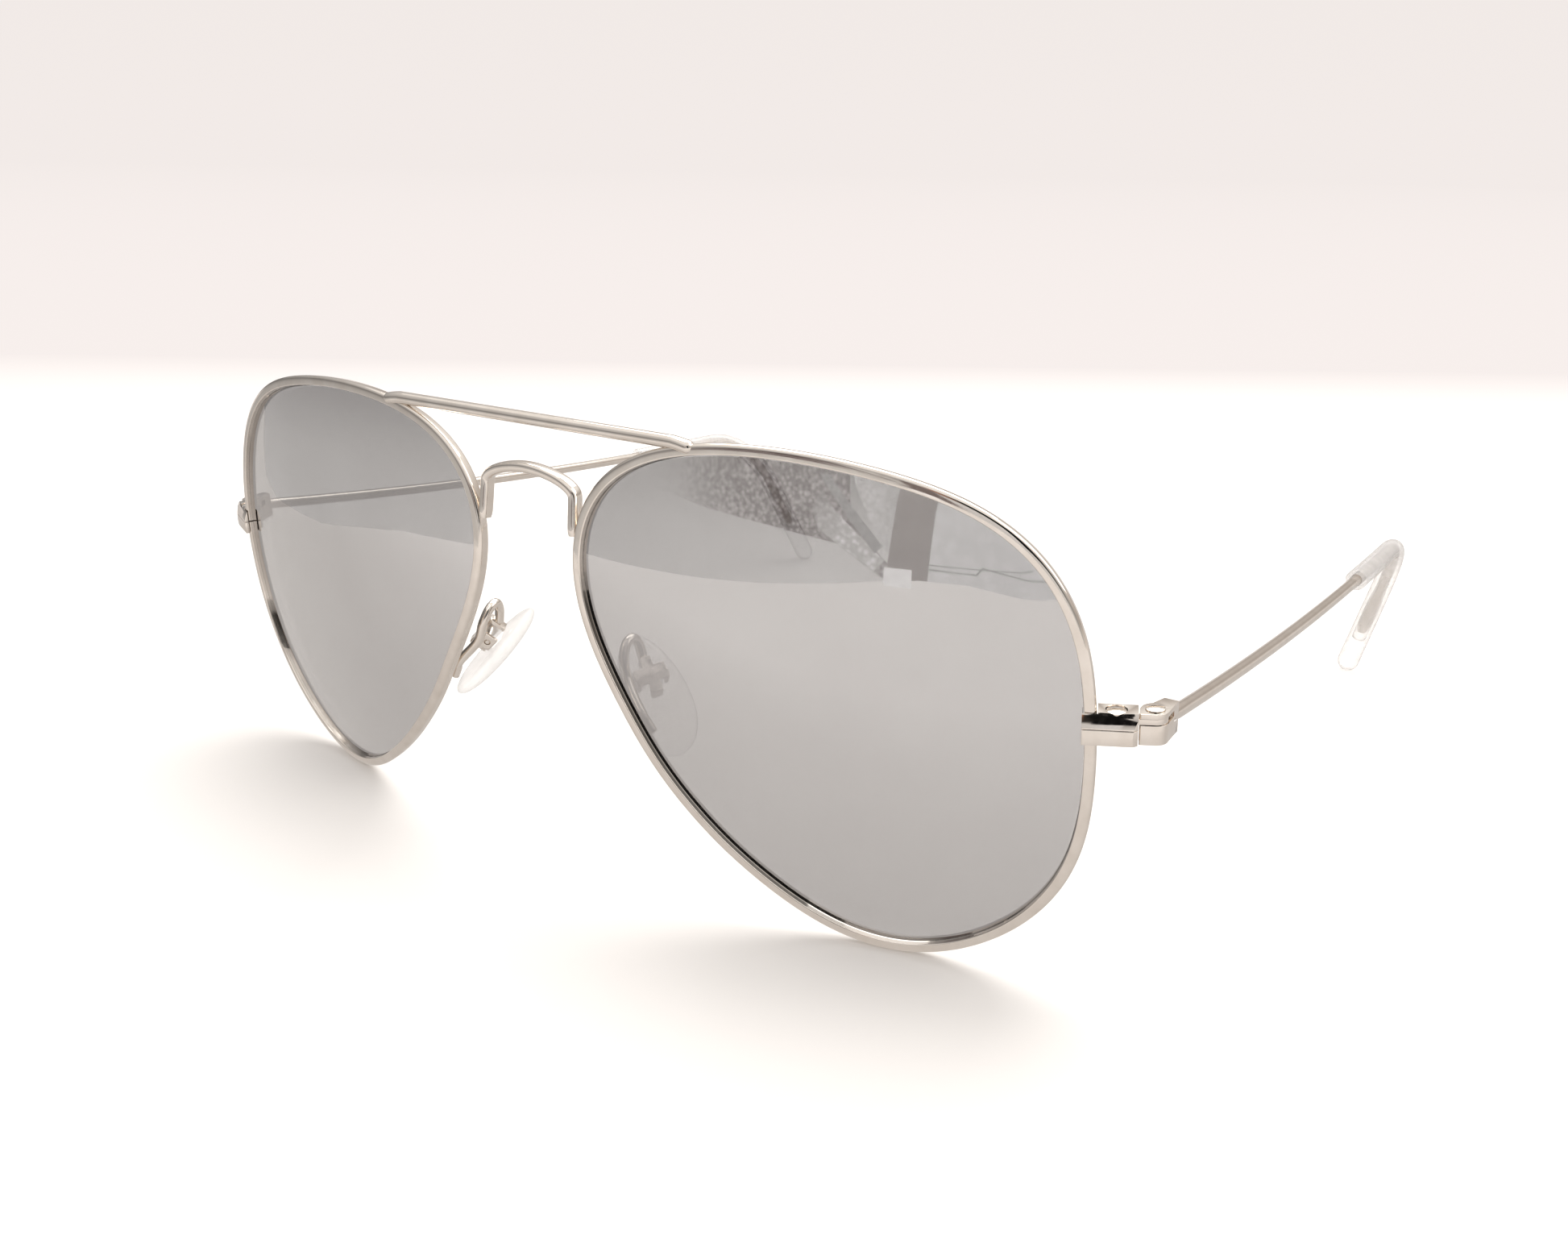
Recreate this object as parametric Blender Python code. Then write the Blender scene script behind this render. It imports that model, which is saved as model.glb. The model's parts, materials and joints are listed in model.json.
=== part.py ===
"""Metal aviator sunglasses with a brow bar, standing on their rims and ear socks, temples open.

Each pair is built once for the wearer's left side (+X) and mirrored. The front faces -Y. Shapes are
drawn in millimetres in the front's own axes, in which the middles of the lenses are at Z = 0, and
the whole is then leaned forward until the rims and the ear socks stand on one level.
"""

import math

import bmesh
import bpy
import numpy as np
from mathutils import Matrix, Vector

MM = 0.001

# Lens outline: distances from the middle of the lens every 20 degrees, from the temple side upwards
LENS_RADII = (
    *(29.1, 29.8, 29.9, 28.1, 26.8, 27.5, 30.2, 33.0, 30.7),
    *(25.0, 21.8, 20.7, 21.2, 23.5, 27.3, 29.8, 30.6, 30.0),
)
LENS_CENTRE_X = 37.1
BASE_CURVE_RADIUS = 114.0
WRAP_ANGLE = math.radians(10.0)
LENS_FRONT = 0.12
LENS_THICKNESS = 1.6
OUTLINE_STEPS = 72

# Eyewire section: offsets are outward from the lens edge, depths forward from the lens surface
RIM_INSIDE = -0.50
RIM_OUTSIDE = 0.68
RIM_HALF_DEPTH = 0.78
RIM_CORNER = 0.22
GROOVE_BOTTOM = 0.14
SLIT_HEIGHT = 0.16
SEAT_GAP = 0.05

# Closing block and hinge
BLOCK_SPLIT_Z = 2.76
BLOCK_TOP_Z = 4.40
BLOCK_BOTTOM_Z = 1.10
BLOCK_END = 4.60
BLOCK_FRONT = 1.15
BLOCK_BACK = -1.35
LIP_START = -0.80
LOCK_SCREW_AT = (2.50, -0.15)
HINGE_AXIS = (70.10, 12.60)
BARREL_RADIUS = 1.40
TONGUE_Z = (2.88, 3.46)
FORK_Z = (0.75, 4.05)
FORK_SLOT_Z = (2.82, 3.52)
SCREW_RADIUS = 0.50
SCREW_HEAD_RADIUS = 1.0
SCREW_SLOT = (2.6, 0.34, 0.5)
LOCK_SCREW_Z = (0.95, 3.92, 4.46)
LOCK_BORE_CLEARANCE = 0.10
LOCK_SINK_RADIUS = 1.08
LOCK_SINK_DEPTH = 0.55
HINGE_SCREW_Z = (0.35, 4.08, 4.38)
BORE_CLEARANCE = 0.06
TONGUE_NECK = 2.4
STOP_GAP = 0.08
FORK_LENGTH = 2.9
FORK_SLOT_END = 1.65
CUTTER_LOW = -1.0
CUTTER_HIGH = 6.0

# Temple: a wire that leaves the hinge block, drops a little, then bends down and in behind the ear
WIRE_RADIUS = 0.75
TEMPLE_START = (70.65, 14.40, 2.60)
TEMPLE_SPLAY = -0.061
TEMPLE_DROP = 0.188
TEMPLE_LIFT_PER_MM = -0.00096
TEMPLE_STRAIGHT = 99.8
TEMPLE_LENGTH = 135.8
EAR_BEND_RADIUS = 16.0
EAR_DROP = 1.30
EAR_INWARD = 0.25
SOCK_START = 79.3
SOCK_RADIUS = 1.45
SOCK_TIP_RADIUS = 1.75
SOCK_BORE_GAP = 0.12
CORE_END = 128.8
WIRE_SOCKET_LENGTH = 4.0

# Bridge and brow bar
BRIDGE_RADIUS = 0.68
BRIDGE_FOOT = (6.95, -0.35, 15.00)
BRIDGE_SHOULDER = (6.80, 0.50, 19.35)
BRIDGE_TOP = (0.0, 0.45, 21.75)
BRIDGE_ARCH_POWER = 1.83
BROW_RADIUS = 0.74
BROW_END = (23.2, 1.15, 27.17)

# Nose pads
PAD_CENTRE = (12.95, 4.25, -4.60)
PAD_LONG_AXIS = (0.74, -0.31, -0.80)
PAD_NORMAL = (-0.585, 0.517, -0.600)
PAD_LENGTH = 15.6
PAD_WIDTH = 7.8
PAD_THICKNESS = 2.2
PAD_BOX_SIZE = (3.8, 4.4, 2.2)
PAD_BOX_FRONT = 1.0
PAD_BOX_ALONG = 1.5
PAD_BOX_WALL = 0.45
PAD_PIVOT_DEPTH = 1.85
PAD_BOSS_SIZE = (2.2, 2.0, 1.9)
PAD_BOSS_DEPTH = 1.35
PAD_ARM_RADIUS = 0.58
PAD_ARM_ON_RIM = (200, 197.5, 195, 192)
PAD_ARM_LOOP = (
    *((12.1, 0.85, -2.0), (11.3, 1.25, 0.3), (10.95, 2.2, 1.9)),
    *((10.95, 3.4, 2.35), (11.2, 4.1, 1.4)),
)
PAD_ARM_GAP = 0.30
PAD_SCREW_RADIUS = 0.38
PAD_SCREW_HEAD = (0.62, 0.04, 0.36)

PART_NAME = "aviator_sunglasses"


def make_material(name, colour, roughness, metallic, alpha=1.0):
    """A Principled material with one colour."""
    material = bpy.data.materials.new(name)
    material.use_nodes = True
    shader = material.node_tree.nodes["Principled BSDF"]
    shader.inputs["Base Color"].default_value = (*colour, 1.0)
    shader.inputs["Roughness"].default_value = roughness
    shader.inputs["Metallic"].default_value = metallic
    shader.inputs["Alpha"].default_value = alpha
    return material


# --- outline, base curve and paths -------------------------------------------------------------


def lens_radius(angle):
    """Distance of the lens edge from the middle: one smooth closed wave through LENS_RADII."""
    count = len(LENS_RADII)
    total = 0.0
    for index, radius in enumerate(LENS_RADII):
        turn = math.remainder(angle - index * math.tau / count, math.tau)
        if abs(turn) < 1e-9:
            return radius
        total += radius * math.sin(count * turn / 2) / (count * math.tan(turn / 2))
    return total


def outline_point(angle, offset):
    """(across, up) of the lens outline moved outward by offset, square to the outline."""
    radius = lens_radius(angle)
    slope = (lens_radius(angle + 0.001) - lens_radius(angle - 0.001)) / 0.002
    outward = Vector((radius, -slope)).normalized()
    across = radius + offset * outward.x
    along = offset * outward.y
    return (
        across * math.cos(angle) - along * math.sin(angle),
        across * math.sin(angle) + along * math.cos(angle),
    )


def onto_base_curve(across, up, depth):
    """A flat lens point laid on the spherical base curve of the left lens, depth being forward."""
    height = math.sqrt(BASE_CURVE_RADIUS**2 - across**2 - up**2)
    scale = 1 + depth / BASE_CURVE_RADIUS
    forward = height * scale - BASE_CURVE_RADIUS
    across *= scale
    return Vector(
        (
            LENS_CENTRE_X + across * math.cos(WRAP_ANGLE) + forward * math.sin(WRAP_ANGLE),
            across * math.sin(WRAP_ANGLE) - forward * math.cos(WRAP_ANGLE),
            up * scale,
        )
    )


def temple_path(distances):
    """Points along the left temple at these distances from its start in the hinge block."""
    straight_drop = TEMPLE_DROP + TEMPLE_LIFT_PER_MM * TEMPLE_STRAIGHT
    bend_length = EAR_BEND_RADIUS * (EAR_DROP - straight_drop)
    small = 0.25
    steps = np.arange(0.0, TEMPLE_LENGTH + small, small)
    bent = np.clip((steps - TEMPLE_STRAIGHT) / bend_length, 0.0, 1.0)
    drop = TEMPLE_DROP + TEMPLE_LIFT_PER_MM * np.minimum(steps, TEMPLE_STRAIGHT)
    drop += bent * (EAR_DROP - straight_drop)
    inward = bent * EAR_INWARD
    heading = math.atan(TEMPLE_SPLAY) - inward
    moves = small * np.stack(
        [
            np.sin(heading) * np.cos(drop) - np.sin(inward) * np.sin(drop),
            np.cos(heading) * np.cos(drop),
            -np.sin(drop),
        ]
    )
    places = np.array(TEMPLE_START)[:, None] + np.cumsum(moves, axis=1) - moves[:, :1]
    return [Vector([np.interp(distance, steps, row) for row in places]) for distance in distances]


def smooth_path(knots, per_span):
    """A smooth run of points through the knots."""
    padded = [2 * knots[0] - knots[1], *knots, 2 * knots[-1] - knots[-2]]
    points = []
    for index in range(1, len(padded) - 2):
        before, first, second, after = padded[index - 1 : index + 3]
        for step in range(per_span):
            t = step / per_span
            points.append(
                0.5
                * (
                    2 * first
                    + t * (second - before)
                    + t**2 * (2 * before - 5 * first + 4 * second - after)
                    + t**3 * (3 * first - 3 * second + after - before)
                )
            )
    points.append(knots[-1])
    return points


# --- meshes ------------------------------------------------------------------------------------


def finished_mesh(mesh_builder, name):
    """The mesh with its faces pointing out and its round sides shaded smooth."""
    bmesh.ops.recalc_face_normals(mesh_builder, faces=mesh_builder.faces)
    mesh = bpy.data.meshes.new(name)
    mesh_builder.to_mesh(mesh)
    mesh_builder.free()
    mesh.shade_smooth()
    mesh.set_sharp_from_angle(angle=math.radians(35))
    return mesh


def loft(sections, name, closed):
    """Skin over rings of points. A closed loft joins its last ring to its first, an open one is capped."""
    builder = bmesh.new()
    rings = [[builder.verts.new(point) for point in section] for section in sections]
    pairs = list(zip(rings, rings[1:]))
    if closed:
        pairs.append((rings[-1], rings[0]))
    for ring, following in pairs:
        for index in range(len(ring)):
            after = (index + 1) % len(ring)
            builder.faces.new((ring[index], ring[after], following[after], following[index]))
    if not closed:
        builder.faces.new(rings[0])
        builder.faces.new(rings[-1])
    return finished_mesh(builder, name)


def prism(outline, low, high, name, corner=0.0):
    """An upright block with the given plan outline."""
    builder = bmesh.new()
    base = builder.faces.new([builder.verts.new((x, y, low)) for x, y in outline])
    sides = bmesh.ops.extrude_face_region(builder, geom=[base])["geom"]
    lifted = [item for item in sides if isinstance(item, bmesh.types.BMVert)]
    bmesh.ops.translate(builder, verts=lifted, vec=(0, 0, high - low))
    if corner:
        bmesh.ops.bevel(builder, geom=builder.edges[:], offset=corner, segments=1, affect="EDGES")
    return finished_mesh(builder, name)


def box(size, matrix, name, corner=0.0):
    """A box about the matrix's origin."""
    builder = bmesh.new()
    bmesh.ops.create_cube(builder, size=1.0, matrix=Matrix.Diagonal((*size, 1.0)))
    if corner:
        bmesh.ops.bevel(builder, geom=builder.edges[:], offset=corner, segments=2, affect="EDGES")
    bmesh.ops.transform(builder, matrix=matrix, verts=builder.verts)
    return finished_mesh(builder, name)


def cylinder(radius, low, high, matrix, name, segments=20):
    """A cylinder along the matrix's Z axis."""
    builder = bmesh.new()
    bmesh.ops.create_cone(
        builder,
        cap_ends=True,
        segments=segments,
        radius1=radius,
        radius2=radius,
        depth=high - low,
        matrix=matrix @ Matrix.Translation((0, 0, (low + high) / 2)),
    )
    return finished_mesh(builder, name)


def turned(profile, matrix, name, segments=20):
    """A solid turned about the matrix's Z axis from (radius, height) points that start and end on it."""
    builder = bmesh.new()
    points = [builder.verts.new((radius, 0, height)) for radius, height in profile]
    edges = [builder.edges.new(pair) for pair in zip(points, points[1:])]
    bmesh.ops.spin(
        builder,
        geom=points + edges,
        axis=(0, 0, 1),
        cent=(0, 0, 0),
        steps=segments,
        angle=math.tau,
    )
    bmesh.ops.remove_doubles(builder, verts=builder.verts, dist=1e-4)
    bmesh.ops.transform(builder, matrix=matrix, verts=builder.verts)
    return finished_mesh(builder, name)


def wire(points, radius, name, radii=None, sides=2):
    """A round wire along the points, as the mesh of a bevelled curve with its caps welded on."""
    curve = bpy.data.curves.new(name, "CURVE")
    curve.dimensions = "3D"
    curve.bevel_depth = radius
    curve.bevel_resolution = sides
    curve.use_fill_caps = True
    spline = curve.splines.new("POLY")
    spline.points.add(len(points) - 1)
    for index, place in enumerate(points):
        spline.points[index].co = (*place, 1.0)
        spline.points[index].radius = radii[index] / radius if radii else 1.0
    guide = bpy.data.objects.new(name, curve)
    bpy.context.scene.collection.objects.link(guide)
    graph = bpy.context.evaluated_depsgraph_get()
    mesh = bpy.data.meshes.new_from_object(guide.evaluated_get(graph))
    bpy.data.objects.remove(guide)
    builder = bmesh.new()
    builder.from_mesh(mesh)
    bmesh.ops.remove_doubles(builder, verts=builder.verts, dist=1e-4)
    bpy.data.meshes.remove(mesh)
    return finished_mesh(builder, name)


def eyewire_mesh(section, name):
    """A ring with the given section of (offset, depth) points, round the left lens."""
    rings = []
    for step in range(OUTLINE_STEPS):
        angle = math.tau * step / OUTLINE_STEPS
        rings.append(
            [onto_base_curve(*outline_point(angle, offset), depth) for offset, depth in section]
        )
    return loft(rings, name, closed=True)


def lens_mesh():
    """The left lens: front and back on the base curve, its edge bevelled to a ridge."""
    body = RIM_INSIDE - 0.12
    back = LENS_FRONT - LENS_THICKNESS
    edge = ((body, LENS_FRONT), (body, -0.02), (-0.02, -0.17), (body, -0.42), (body, back))
    rings = []
    for share in (0.04, 0.36, 0.70):
        rings.append((share, body, LENS_FRONT))
    rings += [(1.0, offset, depth) for offset, depth in edge]
    for share in (0.70, 0.36, 0.04):
        rings.append((share, body, back))
    sections = []
    for share, offset, depth in rings:
        section = []
        for step in range(OUTLINE_STEPS):
            across, up = outline_point(math.tau * step / OUTLINE_STEPS, offset)
            section.append(onto_base_curve(share * across, share * up, depth))
        sections.append(section)
    return loft(sections, "lens", closed=False)


def rim_section():
    """The eyewire's section: rounded outside, with a groove inside for the lens bevel."""
    half = RIM_HALF_DEPTH
    corner = RIM_CORNER
    return (
        (RIM_INSIDE, half - 0.08),
        (RIM_INSIDE + 0.08, half),
        (RIM_OUTSIDE - corner, half),
        (RIM_OUTSIDE, half - corner),
        (RIM_OUTSIDE, corner - half),
        (RIM_OUTSIDE - corner, -half),
        (RIM_INSIDE + 0.08, -half),
        (RIM_INSIDE, 0.08 - half),
        (RIM_INSIDE, -0.56),
        (GROOVE_BOTTOM, -0.24),
        (GROOVE_BOTTOM, -0.12),
        (RIM_INSIDE, 0.06),
    )


def rim_envelope():
    """The space that the eyewire fills, with a gap all round and no groove."""
    reach = RIM_HALF_DEPTH + SEAT_GAP
    corner = RIM_CORNER
    outside = RIM_OUTSIDE + SEAT_GAP
    return (
        (RIM_INSIDE - 0.4, reach),
        (outside - corner, reach),
        (outside, reach - corner),
        (outside, corner - reach),
        (outside - corner, -reach),
        (RIM_INSIDE - 0.4, -reach),
    )


# --- closing block and hinge -------------------------------------------------------------------

BLOCK_ANCHOR = onto_base_curve(*outline_point(math.radians(5.4), 0.0), 0.0).xy
BLOCK_ANGLE = WRAP_ANGLE + math.asin(LENS_RADII[0] / BASE_CURVE_RADIUS)
BLOCK_OUTWARD = Vector((math.cos(BLOCK_ANGLE), math.sin(BLOCK_ANGLE)))
BLOCK_FORWARD = Vector((math.sin(BLOCK_ANGLE), -math.cos(BLOCK_ANGLE)))
HINGE = Vector(HINGE_AXIS)


def on_block(outward, forward):
    """A plan point given by its distances outward from the lens edge and forward."""
    return BLOCK_ANCHOR + outward * BLOCK_OUTWARD + forward * BLOCK_FORWARD


def at_hinge(outward, forward):
    """A plan point given by its distances from the hinge axis, in the block's directions."""
    return HINGE + outward * BLOCK_OUTWARD + forward * BLOCK_FORWARD


def arc(centre, radius, first, last, steps):
    """Plan points on a circle between two angles in degrees."""
    angles = [math.radians(first + (last - first) * step / steps) for step in range(steps + 1)]
    return [centre + radius * Vector((math.cos(a), math.sin(a))) for a in angles]


def block_half(low, high):
    """Half of the closing block, wrapped over the front and the outside of the eyewire."""
    front_gap = RIM_HALF_DEPTH + SEAT_GAP
    side_gap = RIM_OUTSIDE + SEAT_GAP
    outline = [
        on_block(LIP_START, front_gap),
        on_block(LIP_START, BLOCK_FRONT),
        on_block(BLOCK_END, BLOCK_FRONT),
        on_block(BLOCK_END, BLOCK_BACK),
        on_block(side_gap, BLOCK_BACK),
        on_block(side_gap, front_gap),
    ]
    return prism(outline, low, high, "closing_block", corner=0.12)


def tongue():
    """The hinge tongue, a disc about the hinge axis on a neck that runs into the closing block."""
    radius = BARREL_RADIUS - 0.1
    block_degrees = math.degrees(BLOCK_ANGLE)
    outline = [at_hinge(-TONGUE_NECK, radius), at_hinge(-TONGUE_NECK, 0.1)]
    outline += arc(HINGE, radius, block_degrees + 180, block_degrees - 90, 18)
    return prism(outline, *TONGUE_Z, "tongue")


def fork():
    """The temple's hinge block: round about the axis inside, square in front as the opening stop."""
    block_degrees = math.degrees(BLOCK_ANGLE)
    stop = BARREL_RADIUS + STOP_GAP
    outline = [at_hinge(-stop, 0.0), at_hinge(-stop, BARREL_RADIUS)]
    outline += arc(HINGE, BARREL_RADIUS, block_degrees - 90, 10, 5)
    outline += [
        HINGE + Vector((1.30, FORK_LENGTH - 1.7)),
        HINGE + Vector((1.24, FORK_LENGTH)),
        HINGE + Vector((-0.32, FORK_LENGTH)),
        HINGE + Vector((-0.58, FORK_LENGTH - 0.9)),
    ]
    outline += arc(HINGE, BARREL_RADIUS, block_degrees + 100, block_degrees + 165, 6)
    return prism(outline, *FORK_Z, "temple_hinge", corner=0.10)


def screw_mesh(head_radius, heights, shank_radius, name):
    """A screw on the Z axis, given the heights of its tip and of its head's underside and top."""
    tip, head_low, head_high = heights
    profile = (
        (0.0, head_high),
        (head_radius - 0.1, head_high),
        (head_radius, head_high - 0.1),
        (head_radius, head_low),
        (shank_radius, head_low),
        (shank_radius, tip + 0.15),
        (shank_radius - 0.15, tip),
        (0.0, tip),
    )
    return turned(profile, Matrix.Identity(4), name)


def upright(place):
    """A matrix that stands things on the Z axis over a plan point."""
    return Matrix.Translation((place[0], place[1], 0.0))


# --- nose pads ---------------------------------------------------------------------------------


def pad_frame():
    """Matrix of the left pad: X across it, Y up along it, Z out of its back, towards its box."""
    up = -Vector(PAD_LONG_AXIS).normalized()
    back = -Vector(PAD_NORMAL)
    back = (back - back.dot(up) * up).normalized()
    across = up.cross(back)
    turn = Matrix((across, up, back)).transposed().to_4x4()
    return Matrix.Translation(PAD_CENTRE) @ turn


def pad_outline(angle):
    """(across, along) on the pad's edge, as shares of its half width and half length: an egg."""
    along = math.sin(angle)
    return math.cos(angle) * (1.0 - 0.16 * along), along


def pad_mesh():
    """The pad's body: egg-shaped, crowned towards the nose, nearly flat behind."""
    steps = 28
    layers = ((0.30, 1.00), (0.70, 0.80), (0.93, 0.42), (1.0, 0.0), (0.93, -0.32), (0.60, -0.42))
    sections = []
    for share, height in layers:
        section = []
        for step in range(steps):
            across, along = pad_outline(math.tau * step / steps)
            section.append(
                Vector(
                    (
                        across * share * PAD_WIDTH / 2,
                        along * share * PAD_LENGTH / 2,
                        -height * PAD_THICKNESS * 0.7,
                    )
                )
            )
        sections.append(section)
    mesh = loft(sections, "nose_pad", closed=False)
    mesh.transform(pad_frame())
    return mesh


# --- placing -----------------------------------------------------------------------------------


def mirrored(mesh):
    """A copy of the mesh on the other side of X = 0, its faces still pointing out."""
    builder = bmesh.new()
    builder.from_mesh(mesh)
    bmesh.ops.scale(builder, vec=(-1, 1, 1), verts=builder.verts)
    bmesh.ops.reverse_faces(builder, faces=builder.faces)
    copy = bpy.data.meshes.new(mesh.name)
    builder.to_mesh(copy)
    builder.free()
    return copy


def add_object(name, mesh, material, collection, stance, pivot):
    """An object whose mesh is given in millimetres in the front's axes, with its origin at the pivot."""
    mesh.transform(Matrix.Translation(-pivot))
    mesh.transform(Matrix.Scale(MM, 4))
    mesh.name = name
    item = bpy.data.objects.new(name, mesh)
    item.location = pivot * MM
    item.parent = stance
    if material:
        mesh.materials.clear()
        mesh.materials.append(material.copy())
        mesh.materials[0].name = name
    else:
        item.hide_render = True
        item.display_type = "WIRE"
    collection.objects.link(item)
    return item


def add_pair(name, mesh, material, collection, stance, pivot=(0.0, 0.0, 0.0)):
    """The piece on the wearer's left and its mirror image on the right."""
    pivot = Vector(pivot)
    other = mirrored(mesh)
    other_pivot = Vector((-pivot.x, pivot.y, pivot.z))
    return (
        add_object(name + "_left", mesh, material, collection, stance, pivot),
        add_object(name + "_right", other, material, collection, stance, other_pivot),
    )


def combine(pair, helpers, operation):
    """A Boolean of each piece of the pair with the helper on its side."""
    for item, helper in zip(pair, helpers):
        modifier = item.modifiers.new(helper.name, "BOOLEAN")
        modifier.operation = operation
        modifier.solver = "EXACT"
        modifier.object = helper


def stand_up(items, stance):
    """Leans the sunglasses until rims and socks are level, then puts the middle of the base at 0."""
    graph = bpy.context.evaluated_depsgraph_get()
    front_rows = []
    temple_rows = []
    for item in items:
        mesh = item.evaluated_get(graph).to_mesh()
        places = np.array([item.matrix_world @ vertex.co for vertex in mesh.vertices])
        (temple_rows if "ear_sock" in item.name else front_rows).append(places)
    front = np.concatenate(front_rows)
    temples = np.concatenate(temple_rows)

    def lowest(rows, lean):
        return (rows[:, 1] * math.sin(lean) + rows[:, 2] * math.cos(lean)).min()

    low, high = 0.0, 0.3
    for _ in range(40):
        lean = (low + high) / 2
        if lowest(temples, lean) < lowest(front, lean):
            low = lean
        else:
            high = lean
    turn = Matrix.Rotation(lean, 3, "X")
    rows = np.concatenate([front, temples]) @ np.array(turn).T
    low_corner = rows.min(axis=0)
    high_corner = rows.max(axis=0)
    middle = (low_corner + high_corner) / 2
    stance.rotation_euler = (lean, 0, 0)
    stance.location = (-middle[0], -middle[1], -low_corner[2])


# --- assembly ----------------------------------------------------------------------------------


def bridge_points():
    """The saddle bridge's centreline, foot to foot."""
    foot_x, foot_y, foot_z = BRIDGE_FOOT
    wide, shoulder_y, shoulder_z = BRIDGE_SHOULDER
    _, top_y, top_z = BRIDGE_TOP
    leg = []
    for step in range(4):
        share = step / 4
        leg.append(
            Vector(
                (
                    foot_x + (wide - foot_x) * share,
                    foot_y + (shoulder_y - foot_y) * share,
                    foot_z + (shoulder_z - foot_z) * share,
                )
            )
        )
    arch = []
    for step in range(21):
        across = math.cos(math.pi * step / 20)
        rise = max(1 - abs(across) ** BRIDGE_ARCH_POWER, 0.0) ** (1 / BRIDGE_ARCH_POWER)
        arch.append(
            Vector(
                (
                    wide * across,
                    top_y + (shoulder_y - top_y) * across**2,
                    shoulder_z + (top_z - shoulder_z) * rise,
                )
            )
        )
    other_leg = [Vector((-point.x, point.y, point.z)) for point in reversed(leg)]
    return leg + arch + other_leg


def brow_points():
    """(points, radii) of the brow bar, a straight wire with rounded ends."""
    end_x, end_y, end_z = BROW_END
    rounding = ((1.0, 0.30), (0.985, 0.62), (0.965, 0.74), (0.94, BROW_RADIUS))
    stations = [(-share, radius) for share, radius in rounding]
    stations += [(step / 8, BROW_RADIUS) for step in range(-6, 7)]
    stations += [(share, radius) for share, radius in reversed(rounding)]
    points = [Vector((share * end_x, end_y, end_z)) for share, _ in stations]
    return points, [radius for _, radius in stations]


def pad_arm_points():
    """The left swan-neck arm: up the back of the rim, over a loop and down to the pad box."""
    frame = pad_frame()
    back = -(RIM_HALF_DEPTH + SEAT_GAP + PAD_ARM_RADIUS)
    knots = [
        onto_base_curve(*outline_point(math.radians(turn), 0.25), back) for turn in PAD_ARM_ON_RIM
    ]
    knots += [Vector(place) for place in PAD_ARM_LOOP]
    box_top = PAD_BOX_ALONG + PAD_BOX_SIZE[1] / 2
    box_middle = PAD_BOX_FRONT + PAD_BOX_SIZE[2] / 2
    knots.append(frame @ Vector((0.0, box_top + PAD_ARM_GAP, box_middle + 0.05)))
    return smooth_path(knots, 3)


def sock_stations():
    """(distance, radius) along the ear sock: round front edge, slight swell, round tip."""
    stations = [(SOCK_START, SOCK_RADIUS - 0.12), (SOCK_START + 0.15, SOCK_RADIUS)]
    swell_from = TEMPLE_STRAIGHT
    last = TEMPLE_LENGTH - SOCK_TIP_RADIUS
    distance = SOCK_START + 4.0
    while distance < last - 1.0:
        share = min(max((distance - swell_from) / (last - swell_from), 0.0), 1.0)
        stations.append((distance, SOCK_RADIUS + share * (SOCK_TIP_RADIUS - SOCK_RADIUS)))
        distance += 4.0 if distance < TEMPLE_STRAIGHT - 4 else 2.2
    for turn in (0, 30, 55, 75):
        angle = math.radians(turn)
        stations.append((last + SOCK_TIP_RADIUS * math.sin(angle), SOCK_TIP_RADIUS * math.cos(angle)))
    return stations


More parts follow.
